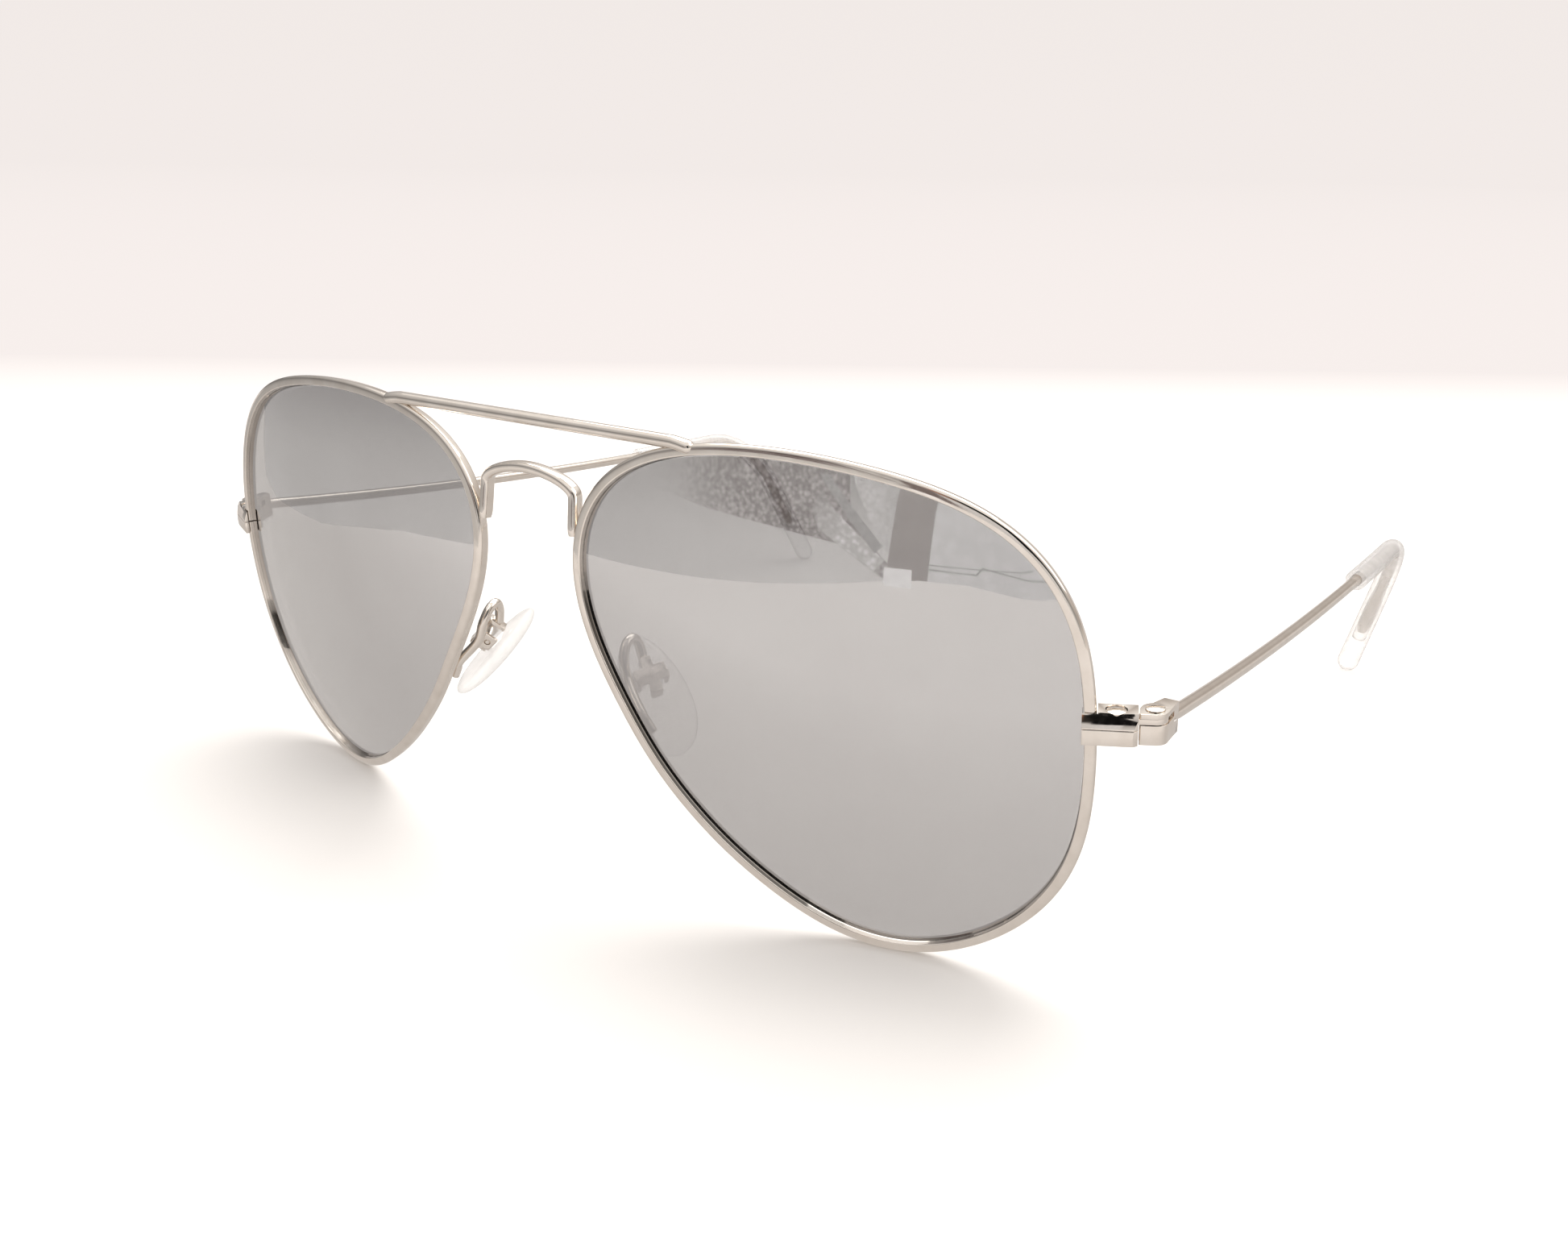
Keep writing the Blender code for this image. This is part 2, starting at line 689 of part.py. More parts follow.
def build_front(parts, cutters, stance, metal, mirror, clear):
    """Rims, lenses, bridge, brow bar, closing blocks and nose pads."""
    rims = add_pair("rim", eyewire_mesh(rim_section(), "rim"), metal, parts, stance)
    slit = box(
        (5.0, 6.0, SLIT_HEIGHT),
        Matrix.Translation((BLOCK_ANCHOR.x, BLOCK_ANCHOR.y, BLOCK_SPLIT_Z)),
        "slit",
    )
    combine(rims, add_pair("rim_slit", slit, None, cutters, stance), "DIFFERENCE")
    add_pair("lens", lens_mesh(), mirror, parts, stance)

    arch = wire(bridge_points(), BRIDGE_RADIUS, "bridge")
    bridge = add_object("bridge", arch, metal, parts, stance, Vector())
    points, radii = brow_points()
    bar = wire(points, BROW_RADIUS, "brow_bar", radii)
    brow = add_object("brow_bar", bar, metal, parts, stance, Vector())
    seats = add_pair("rim_seat", eyewire_mesh(rim_envelope(), "rim_seat"), None, cutters, stance)
    for item in (bridge, brow):
        combine((item, item), seats, "DIFFERENCE")

    half_gap = SLIT_HEIGHT / 4
    uppers = add_pair(
        "endpiece_upper", block_half(BLOCK_SPLIT_Z + half_gap, BLOCK_TOP_Z), metal, parts, stance
    )
    combine(uppers, add_pair("tongue", tongue(), None, cutters, stance), "UNION")
    lowers = add_pair(
        "endpiece_lower", block_half(BLOCK_BOTTOM_Z, BLOCK_SPLIT_Z - half_gap), metal, parts, stance
    )
    lock_at = upright(on_block(*LOCK_SCREW_AT))
    hole_radius = SCREW_RADIUS + LOCK_BORE_CLEARANCE
    hole = cylinder(hole_radius, CUTTER_LOW, CUTTER_HIGH, lock_at, "lock_bore")
    holes = add_pair("lock_bore", hole, None, cutters, stance)
    combine(uppers, holes, "DIFFERENCE")
    combine(lowers, holes, "DIFFERENCE")
    sink = cylinder(LOCK_SINK_RADIUS, BLOCK_TOP_Z - LOCK_SINK_DEPTH, CUTTER_HIGH, lock_at, "lock_sink")
    combine(uppers, add_pair("lock_sink", sink, None, cutters, stance), "DIFFERENCE")
    lock_screw = screw_mesh(SCREW_HEAD_RADIUS, LOCK_SCREW_Z, SCREW_RADIUS, "lock_screw")
    lock_screw.transform(lock_at)
    screws = add_pair("rim_lock_screw", lock_screw, metal, parts, stance)
    slot = box(SCREW_SLOT, lock_at @ Matrix.Translation((0, 0, LOCK_SCREW_Z[2] + 0.04)), "lock_slot")
    combine(screws, add_pair("lock_slot", slot, None, cutters, stance), "DIFFERENCE")
    bore_radius = SCREW_RADIUS + BORE_CLEARANCE
    hinge_bore = cylinder(bore_radius, CUTTER_LOW, CUTTER_HIGH, upright(HINGE), "hinge_bore")
    bores = add_pair("hinge_bore", hinge_bore, None, cutters, stance)
    combine(uppers, bores, "DIFFERENCE")
    build_pads(parts, cutters, stance, metal, clear)
    return bores


def build_pads(parts, cutters, stance, metal, clear):
    """Swan-neck arms, boxes, screws and the clear pads that rock in them."""
    frame = pad_frame()
    arm = wire(pad_arm_points(), PAD_ARM_RADIUS, "pad_arm")
    add_pair("pad_arm", arm, metal, parts, stance)

    across, along, deep = PAD_BOX_SIZE
    middle = Vector((0.0, PAD_BOX_ALONG, PAD_BOX_FRONT + deep / 2))
    shell = box(PAD_BOX_SIZE, frame @ Matrix.Translation(middle), "pad_box", corner=0.35)
    boxes = add_pair("pad_box", shell, metal, parts, stance)
    pocket_size = (across - 2 * PAD_BOX_WALL, along - 2 * PAD_BOX_WALL, deep)
    pocket_at = frame @ Matrix.Translation(middle - Vector((0, 0, PAD_BOX_WALL)))
    pocket = box(pocket_size, pocket_at, "pad_pocket")
    combine(boxes, add_pair("pad_pocket", pocket, None, cutters, stance), "DIFFERENCE")

    pivot = frame @ Vector((0.0, PAD_BOX_ALONG, PAD_PIVOT_DEPTH))
    turn = frame.to_3x3().to_4x4() @ Matrix.Rotation(math.pi / 2, 4, "Y")
    sideways = Matrix.Translation(pivot) @ turn
    bore = cylinder(PAD_SCREW_RADIUS + BORE_CLEARANCE, -across, across, sideways, "pad_bore", segments=16)
    bores = add_pair("pad_bore", bore, None, cutters, stance)
    combine(boxes, bores, "DIFFERENCE")

    pads = add_pair("nose_pad", pad_mesh(), clear, parts, stance, pivot=pivot)
    boss_at = frame @ Matrix.Translation((0, PAD_BOX_ALONG, PAD_BOSS_DEPTH))
    boss = box(PAD_BOSS_SIZE, boss_at, "pad_boss", corner=0.15)
    combine(pads, add_pair("pad_boss", boss, None, cutters, stance), "UNION")
    combine(pads, bores, "DIFFERENCE")

    head_radius, head_low, head_high = PAD_SCREW_HEAD
    heights = (-across / 2, across / 2 + head_low, across / 2 + head_high)
    screw = screw_mesh(head_radius, heights, PAD_SCREW_RADIUS, "pad_screw")
    screw.transform(sideways)
    add_pair("pad_screw", screw, metal, parts, stance)


def build_temples(parts, cutters, stance, metal, clear, bores):
    """Forked hinge blocks with their screws, the temple wires and the ear socks."""
    pivot = Vector((*HINGE_AXIS, 0.0))
    forks = add_pair("temple_hinge", fork(), metal, parts, stance, pivot)
    slot_low, slot_high = FORK_SLOT_Z
    slot_size = Vector((6.0, 5.0, slot_high - slot_low))
    slot_middle = (HINGE.x, HINGE.y + FORK_SLOT_END - slot_size.y / 2, (slot_low + slot_high) / 2)
    slot = box(slot_size, Matrix.Translation(slot_middle), "fork_slot")
    combine(forks, add_pair("fork_slot", slot, None, cutters, stance), "DIFFERENCE")
    combine(forks, bores, "DIFFERENCE")
    socket_path = temple_path([0.0, 1.0, WIRE_SOCKET_LENGTH])
    socket = wire(socket_path, WIRE_RADIUS + SEAT_GAP, "wire_socket")
    combine(forks, add_pair("wire_socket", socket, None, cutters, stance), "DIFFERENCE")

    screw = screw_mesh(SCREW_HEAD_RADIUS, HINGE_SCREW_Z, SCREW_RADIUS, "hinge_screw")
    screw.transform(upright(HINGE))
    screws = add_pair("hinge_screw", screw, metal, parts, stance, pivot)
    slot_at = upright(HINGE) @ Matrix.Translation((0, 0, HINGE_SCREW_Z[2] + 0.10))
    slot = box(SCREW_SLOT, slot_at, "screw_slot")
    combine(screws, add_pair("screw_slot", slot, None, cutters, stance), "DIFFERENCE")

    distances = list(np.arange(0.05, TEMPLE_STRAIGHT, 6.0))
    distances += list(np.arange(TEMPLE_STRAIGHT, CORE_END, 2.2))
    core = wire(temple_path(distances), WIRE_RADIUS, "temple_wire", sides=1)
    add_pair("temple_wire", core, metal, parts, stance, pivot)

    stations = sock_stations()
    sock_points = temple_path([distance for distance, _ in stations])
    sock = wire(sock_points, SOCK_RADIUS, "ear_sock", [radius for _, radius in stations])
    socks = add_pair("ear_sock", sock, clear, parts, stance, pivot)
    hollow_distances = [SOCK_START - 3.0, *(d for d in distances if d > SOCK_START - 2.0)]
    hollow_distances.append(CORE_END + 0.6)
    hollow = wire(temple_path(hollow_distances), WIRE_RADIUS + SOCK_BORE_GAP, "sock_bore", sides=1)
    combine(socks, add_pair("sock_bore", hollow, None, cutters, stance), "DIFFERENCE")


def main():
    for item in list(bpy.data.objects):
        bpy.data.objects.remove(item)
    parts = bpy.data.collections.new(PART_NAME)
    cutters = bpy.data.collections.new("cutters")
    for collection in (parts, cutters):
        bpy.context.scene.collection.children.link(collection)
    metal = make_material("polished_nickel", (0.78, 0.74, 0.70), 0.12, 1.0)
    mirror = make_material("silver_mirror_glass", (0.50, 0.49, 0.48), 0.04, 0.9, 0.85)
    clear = make_material("clear_plastic", (0.93, 0.92, 0.90), 0.10, 0.0, 0.45)
    stance = bpy.data.objects.new("stance", None)
    parts.objects.link(stance)
    bores = build_front(parts, cutters, stance, metal, mirror, clear)
    build_temples(parts, cutters, stance, metal, clear, bores)
    bpy.context.view_layer.update()
    items = [item for item in parts.objects if item.type == "MESH"]
    stand_up(items, stance)
    bpy.context.view_layer.update()


main()
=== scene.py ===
"""Looks of the aviator sunglasses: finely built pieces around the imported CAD, set on a pale studio floor.

Shapes are drawn in millimetres in the front's own axes: +X to the wearer's left, the front faces -Y, the
middles of the lenses are at Z = 0. to_world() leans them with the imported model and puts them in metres.
Each pair is built for the wearer's left side and mirrored.
"""

import json
import math

import bmesh
import bpy
import numpy as np
from mathutils import Matrix, Vector


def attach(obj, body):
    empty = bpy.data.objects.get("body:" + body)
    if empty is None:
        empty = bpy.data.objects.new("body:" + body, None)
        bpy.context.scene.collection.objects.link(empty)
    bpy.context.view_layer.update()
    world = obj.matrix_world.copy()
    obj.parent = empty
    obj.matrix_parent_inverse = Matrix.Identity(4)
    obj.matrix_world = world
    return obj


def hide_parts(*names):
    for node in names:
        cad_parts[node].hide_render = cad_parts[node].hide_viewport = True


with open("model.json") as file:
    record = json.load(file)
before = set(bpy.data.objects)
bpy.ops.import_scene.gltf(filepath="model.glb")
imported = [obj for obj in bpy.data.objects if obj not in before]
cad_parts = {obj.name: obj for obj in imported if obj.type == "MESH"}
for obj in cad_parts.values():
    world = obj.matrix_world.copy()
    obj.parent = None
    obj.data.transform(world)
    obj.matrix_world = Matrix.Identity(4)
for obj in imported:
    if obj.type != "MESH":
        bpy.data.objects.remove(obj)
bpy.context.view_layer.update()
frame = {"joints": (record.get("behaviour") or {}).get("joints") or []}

MM = 0.001

# The stance comes from the left temple's hinge, whose place in the front's axes is known
HINGE_POINT = np.array([70.10, 12.60, 2.40])
fold = next(joint for joint in frame["joints"] if joint["name"] == "temple_left_fold")
LEAN = math.atan2(-fold["axis"][1], fold["axis"][2])
TURN = np.array(Matrix.Rotation(LEAN, 3, "X"))
SHIFT = np.array(fold["pos_m"]) / MM - TURN @ HINGE_POINT

# Lens: its edge's distance from its middle every 20 degrees, and its base curve
LENS_RADII = (
    *(29.1, 29.8, 29.9, 28.1, 26.8, 27.5, 30.2, 33.0, 30.7),
    *(25.0, 21.8, 20.7, 21.2, 23.5, 27.3, 29.8, 30.6, 30.0),
)
LENS_CENTRE_X = 37.1
BASE_CURVE_RADIUS = 114.0
WRAP_ANGLE = math.radians(10.0)
LENS_FRONT = 0.12
LENS_THICKNESS = 1.6

# Eyewire: offsets are outward from the lens edge, depths forward from the lens surface
RIM_INSIDE = -0.50
RIM_OUTSIDE = 0.68
RIM_HALF_DEPTH = 0.78
RIM_STATIONS = 300
RIM_SLIT = 0.20
# How far the lens edge beside the closing block lies from the lens's middle
RIM_AT_BLOCK = 29.0

# Closing block, measured outward and forward from the lens edge beside it, and hinge, from its axis
BLOCK_SPLIT_Z = 2.76
BLOCK_TOP_Z = 4.40
BLOCK_BOTTOM_Z = 1.10
BLOCK_END = 4.60
BLOCK_FRONT = 1.45
BLOCK_BACK = -1.35
LIP_START = -0.80
CROWN_RADIUS = 5.0
CROWN_Z = 1.85
SEAT_GAP = 0.05
SPLIT_HALF_GAP = 0.03
BLOCK_EDGE = 0.14
LOCK_SCREW_AT = (2.50, -0.15)
LOCK_SINK_RADIUS = 1.08
LOCK_SINK_DEPTH = 0.55
HINGE = np.array([70.10, 12.60])
BARREL_RADIUS = 1.40
TONGUE_START = -2.4
TONGUE_Z = (2.88, 3.46)
FORK_Z = (0.75, 4.05)
FORK_SLOT_Z = (2.82, 3.52)
FORK_EDGE = 0.24
SCREW_RADIUS = 0.50
SCREW_HEAD_RADIUS = 1.0
SCREW_CROWN = 0.16
SCREW_POINT = 0.15
SCREW_SLOT_TURN = 0.5
SCREW_SLOT_WIDTH = 0.34
SCREW_SLOT_DEPTH = 0.22

# Temple
WIRE_RADIUS = 0.75
TEMPLE_START = (70.65, 14.40, 2.60)
TEMPLE_SPLAY = -0.061
TEMPLE_DROP = 0.188
TEMPLE_LIFT_PER_MM = -0.00096
TEMPLE_STRAIGHT = 99.8
TEMPLE_LENGTH = 135.8
EAR_BEND_RADIUS = 16.0
EAR_DROP = 1.30
EAR_INWARD = 0.25
SOCK_START = 79.3
SOCK_RADIUS = 1.45
SOCK_TIP_RADIUS = 1.72
SOCK_LIP = 0.16
CORE_END = 128.5
PADDLE_START = 119.0
PADDLE_TAPER = 4.0
# What the temple wire's wider side turns towards
PADDLE_FACES = (0, -0.35, 1.0)

# Bridge and brow bar
BRIDGE_HALF_WIDTH = 0.62
BRIDGE_HALF_DEPTH = 0.82
BRIDGE_FOOT = (6.95, -0.35, 15.00)
BRIDGE_SHOULDER = (6.80, 0.50, 19.35)
BRIDGE_TOP = (0.0, 0.45, 21.75)
BRIDGE_ARCH_POWER = 1.83
BROW_RADIUS = 0.74
BROW_END = (22.7, 1.15, 27.17)

# Nose pads
PAD_CENTRE = np.array([12.95, 4.25, -4.60])
PAD_LONG_AXIS = np.array([0.74, -0.31, -0.80])
PAD_NORMAL = np.array([-0.585, 0.517, -0.600])
PAD_LENGTH = 15.6
PAD_WIDTH = 7.8
PAD_THICKNESS = 2.2
PAD_BOX_SIZE = (3.8, 4.4, 2.2)
PAD_BOX_ALONG = 1.5
PAD_BOX_WALL = 0.45
PAD_BOSS_SIZE = (2.2, 2.0, 1.9)
PAD_EDGE = 0.12
PAD_SCREW_RADIUS = 0.38
PAD_SCREW_HEAD_RADIUS = 0.62
PAD_SCREW_HEIGHT = 1.85
PAD_ARM_RADIUS = 0.58
# Where the arm's foot lies on the rim, in degrees, and how it then loops up to the pad's box
PAD_ARM_ON_RIM = (197.8, 196.2, 194.4, 192)
PAD_ARM_LOOP = (
    *((12.1, 0.85, -2.0), (11.3, 1.25, 0.3), (10.95, 2.2, 1.9)),
    *((10.95, 3.4, 2.35), (11.2, 4.1, 1.4)),
)

# The camera, given in the front's axes
CAMERA_AT = np.array([123.8528, -120.0460, 70.1398])
CAMERA_RIGHT = np.array([0.81189582, 0.58263701, -0.0368686])
CAMERA_UP = np.array([-0.19086474, 0.32458849, 0.92639784])
CAMERA_LENS = 36.2326
SENSOR_WIDTH = 36.0


# --- node helpers ---


class Tree:
    """Short calls for building a node tree."""

    def __init__(self, tree):
        self.tree = tree

    def add(self, kind, inputs, **settings):
        """A node with its settings made, and its inputs linked to sockets or set to values."""
        node = self.tree.nodes.new(kind)
        for name, value in settings.items():
            setattr(node, name, value)
        for name, value in inputs.items():
            if isinstance(value, bpy.types.NodeSocket):
                self.tree.links.new(value, node.inputs[name])
            else:
                node.inputs[name].default_value = value
        return node

    def stops(self, source, places_and_colours):
        """Colours by the source's value, straight between the stops."""
        node = self.add("ShaderNodeValToRGB", {"Fac": source})
        elements = node.color_ramp.elements
        while len(elements) < len(places_and_colours):
            elements.new(0.5)
        for element, (place_at, colour) in zip(elements, places_and_colours):
            element.position = place_at
            element.color = (*colour, 1.0)
        return node.outputs["Color"]

    def mix_shaders(self, share, first, second):
        return self.add("ShaderNodeMixShader", {"Fac": share, 1: first, 2: second}).outputs["Shader"]


class Nodes(Tree):
    """Short calls for building a material's node tree."""

    def __init__(self, name):
        self.material = bpy.data.materials.new(name)
        self.material.use_nodes = True
        super().__init__(self.material.node_tree)
        self.shader = self.tree.nodes["Principled BSDF"]
        self.coordinates = self.tree.nodes.new("ShaderNodeTexCoord").outputs["Object"]

    def set(self, **values):
        for name, value in values.items():
            self.shader.inputs[name.replace("_", " ")].default_value = value

    def link(self, output, name):
        self.tree.links.new(output, self.shader.inputs[name])

    def stretched(self, scale):
        return self.add("ShaderNodeMapping", {"Vector": self.coordinates, "Scale": scale}).outputs["Vector"]

    def noise(self, scale, detail=3.0, vector=None, distortion=0.0):
        inputs = {"Scale": scale, "Detail": detail, "Distortion": distortion}
        inputs["Vector"] = vector or self.coordinates
        return self.add("ShaderNodeTexNoise", inputs).outputs["Fac"]

    def along(self, direction):
        """How far along a direction a point lies."""
        inputs = {0: self.coordinates, 1: direction}
        return self.add("ShaderNodeVectorMath", inputs, operation="DOT_PRODUCT").outputs["Value"]

    def ramp(self, source, low, high, from_low=0.3, from_high=0.7, interpolation="LINEAR"):
        inputs = {"Value": source, "From Min": from_low, "From Max": from_high}
        inputs.update({"To Min": low, "To Max": high})
        node = self.add("ShaderNodeMapRange", inputs, interpolation_type=interpolation)
        return node.outputs["Result"]

    def blend(self, source, first, second):
        inputs = {"Factor": source, "A": (*first, 1.0), "B": (*second, 1.0)}
        return self.add("ShaderNodeMix", inputs, data_type="RGBA").outputs["Result"]

    def mottle(self, source, first, second):
        """Base colour that drifts between two tones."""
        self.link(self.blend(self.ramp(source, 0.0, 1.0), first, second), "Base Color")

    def calculate(self, operation, *operands):
        node = self.add("ShaderNodeMath", dict(enumerate(operands)), operation=operation)
        return node.outputs["Value"]

    def bump(self, height, distance, strength=1.0):
        inputs = {"Height": height, "Distance": distance, "Strength": strength}
        self.link(self.add("ShaderNodeBump", inputs).outputs["Normal"], "Normal")

    def finish_with(self, shader):
        self.tree.links.new(shader, self.tree.nodes["Material Output"].inputs["Surface"])


def plated_metal(name, colour, dull, roughness, scratches):
    """Polished warm plating: slightly wavy, with fine hairlines and faintly duller patches."""
    nodes = Nodes(name)
    nodes.set(Metallic=1.0)
    patches = nodes.noise(420.0, 4.0)
    nodes.mottle(patches, colour, dull)
    hairlines = nodes.noise(1600.0, 2.0, nodes.stretched((1.0, 0.16, 1.0)))
    wear = nodes.calculate("ADD", patches, hairlines)
    nodes.link(nodes.ramp(wear, *roughness, 0.7, 1.3), "Roughness")
    nodes.bump(hairlines, 0.000004, scratches)
    return nodes.material


def mirror_coat():
    """The lens's front: a silver mirror film that lets a little light through, with faint wipe marks."""
    nodes = Nodes("mirror_coat")
    nodes.set(Metallic=1.0, Alpha=0.76)
    nodes.mottle(nodes.noise(70.0, 3.0), (0.516, 0.506, 0.506), (0.494, 0.482, 0.482))
    wipes = nodes.noise(260.0, 3.0, nodes.stretched((1.0, 1.0, 0.25)), 0.6)
    nodes.link(nodes.ramp(wipes, 0.012, 0.035), "Roughness")
    nodes.bump(wipes, 0.000001, 0.3)
    return nodes.material


def tinted_back():
    """The lens's rear and edge: dark grey tint with a glossy hard coat."""
    nodes = Nodes("tinted_back")
    nodes.set(Alpha=0.35, IOR=1.55)
    cloud = nodes.noise(90.0, 3.0)
    nodes.mottle(cloud, (0.028, 0.029, 0.031), (0.036, 0.036, 0.037))
    nodes.link(nodes.ramp(cloud, 0.02, 0.06), "Roughness")
    nodes.bump(cloud, 0.000002, 0.3)
    return nodes.material


def clear_plastic(name, middle, edge, opacity):
    """Clear moulded plastic: almost invisible seen square on and denser along its outline, where painted
    shade greys its colour as the surface turns from view, standing in for the dark edges that refraction
    gives.
    """
    nodes = Nodes(name)
    nodes.set(IOR=1.46)
    flow = nodes.noise(500.0, 3.0)
    facing = nodes.add("ShaderNodeLayerWeight", {"Blend": 0.35}).outputs["Facing"]
    turned_away = nodes.ramp(facing, 0.0, 1.0, 0.15, 0.95)
    # painted shade: the colour goes from the middle tone to the grey edge tone as the surface turns from
    # view, in place of refraction's dark rims
    nodes.link(nodes.blend(turned_away, middle, edge), "Base Color")
    density = nodes.ramp(turned_away, *opacity, 0.0, 1.0)
    nodes.link(nodes.calculate("ADD", density, nodes.ramp(flow, -0.04, 0.04)), "Alpha")
    nodes.link(nodes.ramp(flow, 0.03, 0.09), "Roughness")
    nodes.bump(flow, 0.00003, 0.5)
    return nodes.material


# --- mesh builders ---


def to_world(points):
    return (np.asarray(points, float) @ TURN.T + SHIFT) * MM


def make_mesh(name, points, faces, materials, indices=None, sharp=40.0):
    """A mesh in the row frame from points in the front's axes."""
    mesh = bpy.data.meshes.new(name)
    mesh.from_pydata(to_world(points).tolist(), [], faces)
    for material in materials:
        mesh.materials.append(material)
    if indices is not None:
        mesh.polygons.foreach_set("material_index", indices)
    builder = bmesh.new()
    builder.from_mesh(mesh)
    bmesh.ops.recalc_face_normals(builder, faces=builder.faces)
    builder.to_mesh(mesh)
    builder.free()
    mesh.shade_smooth()
    mesh.set_sharp_from_angle(angle=math.radians(sharp))
    return mesh


def in_scene(name, content):
    item = bpy.data.objects.new(name, content)
    bpy.context.scene.collection.objects.link(item)
    return item


def place(name, mesh, body, nodes, slot):
    """An object that rides on a body and stands for CAD nodes."""
    item = in_scene(name, mesh)
    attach(item, body)
    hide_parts(*nodes)


SIDES = (("left", 1.0), ("right", -1.0))


def place_pair(name, points, faces, materials, body, node, slot, indices=None, sharp=40.0):
    """The left piece and its mirror image. body and node take the side's name after them."""
    points = np.asarray(points, float)
    for side, sign in SIDES:
        mesh = make_mesh(f"{name}_{side}", points * (sign, 1, 1), faces, materials, indices, sharp)
        rides_on = body if body == "front" else f"{body}_{side}"
        place(f"{name}_{side}", mesh, rides_on, [f"{node}_{side}"], slot)


def skin(rings):
    """Points and faces over rings of equal length, with the first and the last ring filled."""
    rings = np.asarray(rings, float)
    count, sides = rings.shape[:2]
    last = (count - 1) * sides
    faces = []
    for start in range(0, last, sides):
        following = start + sides
        for side in range(sides):
            after = (side + 1) % sides
            faces.append((start + side, start + after, following + after, following + side))
    faces.append(tuple(range(sides))[::-1])
    faces.append(tuple(range(last, last + sides)))
    return rings.reshape(-1, 3), faces


def unit(vectors):
    return vectors / np.linalg.norm(vectors, axis=-1, keepdims=True)


def axes_at(place_at, *axes):
    """The matrix that puts X, Y and Z along the three axes, from a place."""
    matrix = Matrix(np.stack(axes, 1).tolist()).to_4x4()
    matrix.translation = Vector(place_at)
    return matrix


def carried_frames(points):
    """Two directions across a path at each point, carried along it without twist."""
    tangents = unit(np.gradient(points, axis=0))
    start = np.array([0.0, 0.0, 1.0]) if abs(tangents[0][2]) < 0.8 else np.array([1.0, 0.0, 0.0])
    first = []
    current = start
    for tangent in tangents:
        current = unit(current - current @ tangent * tangent)
        first.append(current)
    first = np.array(first)
    return tangents, first, np.cross(tangents, first)


def steered_frames(points, towards):
    """Two directions across a path, the first as near as it gets to the given one."""
    tangents = unit(np.gradient(points, axis=0))
    towards = np.asarray(towards, float)
    first = unit(towards - (tangents @ towards)[:, None] * tangents)
    return tangents, first, np.cross(tangents, first)


def rounded_section(half_a, half_b, power, sides):
    """A superellipse: power 2 is an ellipse, higher is squarer."""
    turn = np.linspace(0, math.tau, sides, endpoint=False)
    a = np.sign(np.cos(turn)) * np.abs(np.cos(turn)) ** (2 / power) * half_a
    b = np.sign(np.sin(turn)) * np.abs(np.sin(turn)) ** (2 / power) * half_b
    return np.stack([a, b], 1)


def swept(points, frames, sections):
    """Rings of each section laid across the path."""
    _, first, second = frames
    return [
        point + section[:, :1] * a + section[:, 1:] * b
        for point, a, b, section in zip(points, first, second, sections)
    ]


def domed_ends(points, radius, steps=6):
    """(points, scales) of a path given round ends, by stations that close in on both tips."""
    turns = np.linspace(0, math.pi / 2, steps, endpoint=False)
    head = unit(points[0] - points[1])
    tail = unit(points[-1] - points[-2])
    before = [points[0] + head * radius * math.sin(t) for t in turns[:0:-1]]
    after = [points[-1] + tail * radius * math.sin(t) for t in turns[1:]]
    shrink = [math.cos(t) for t in turns]
    scales = shrink[:0:-1] + [1.0] * len(points) + shrink[1:]
    return np.array([*before, *points, *after]), scales


def tube(points, radius, sides=20, dome=None):
    """A round wire with softly closed ends."""
    points, scales = domed_ends(np.asarray(points, float), radius if dome is None else dome)
    circle = rounded_section(radius, radius, 2.0, sides)
    return skin(swept(points, carried_frames(points), [circle * s for s in scales]))


def smooth_path(knots, step):
    """A smooth line through the knots with points about a step apart."""
    knots = np.asarray(knots, float)
    padded = np.vstack([2 * knots[0] - knots[1], knots, 2 * knots[-1] - knots[-2]])
    points = []
    for before, first, second, after in zip(padded, padded[1:], padded[2:], padded[3:]):
        count = max(2, int(np.linalg.norm(second - first) / step))
        for t in np.arange(count) / count:
            slope = t * (second - before)
            bend = t**2 * (2 * before - 5 * first + 4 * second - after)
            twist = t**3 * (3 * first - 3 * second + after - before)
            points.append(0.5 * (2 * first + slope + bend + twist))
    return np.array([*points, knots[-1]])


def filled(points, faces):
    """A builder with these points and faces."""
    builder = bmesh.new()
    made = [builder.verts.new(point) for point in points]
    for face in faces:
        builder.faces.new([made[index] for index in face])
    return builder


def extruded(plan, low, high):
    """A builder with the prism on a plan outline."""
    builder = bmesh.new()
    base = builder.faces.new([builder.verts.new((x, y, low)) for x, y in plan])
    grown = bmesh.ops.extrude_face_region(builder, geom=[base])["geom"]
    top = [item for item in grown if isinstance(item, bmesh.types.BMVert)]
    bmesh.ops.translate(builder, verts=top, vec=(0, 0, high - low))
    return builder


def finish_solid(name, builder, cutters, width, materials, sign, sharp=30.0):
    """Applies the (operation, mesh) helpers, rounds the edges, mirrors if asked, moves to the row frame."""
    item = in_scene(name + "_work", helper_mesh(builder))
    helpers = []
    for operation, cutter in cutters:
        helper = in_scene(name + "_helper", cutter)
        helpers.append(helper)
        modifier = item.modifiers.new("cut", "BOOLEAN")
        modifier.operation = operation
        modifier.solver = "EXACT"
        modifier.object = helper
    if width:
        bevel = item.modifiers.new("edges", "BEVEL")
        bevel.width = width
        bevel.segments = 3
        bevel.limit_method = "ANGLE"
        bevel.angle_limit = math.radians(28)
        bevel.use_clamp_overlap = True
    bpy.context.view_layer.update()
    final = bpy.data.meshes.new_from_object(item.evaluated_get(bpy.context.evaluated_depsgraph_get()))
    for helper in [*helpers, item]:
        bpy.data.objects.remove(helper)
    points = np.array([vertex.co for vertex in final.vertices], float) * (sign, 1, 1)
    faces = [tuple(polygon.vertices) for polygon in final.polygons]
    bpy.data.meshes.remove(final)
    return make_mesh(name, points, faces, materials, sharp=sharp)


def helper_mesh(builder):
    """The builder's mesh with its faces turned outward, to work on or to cut with."""
    bmesh.ops.recalc_face_normals(builder, faces=builder.faces)
    mesh = bpy.data.meshes.new("helper")
    builder.to_mesh(mesh)
    builder.free()
    return mesh


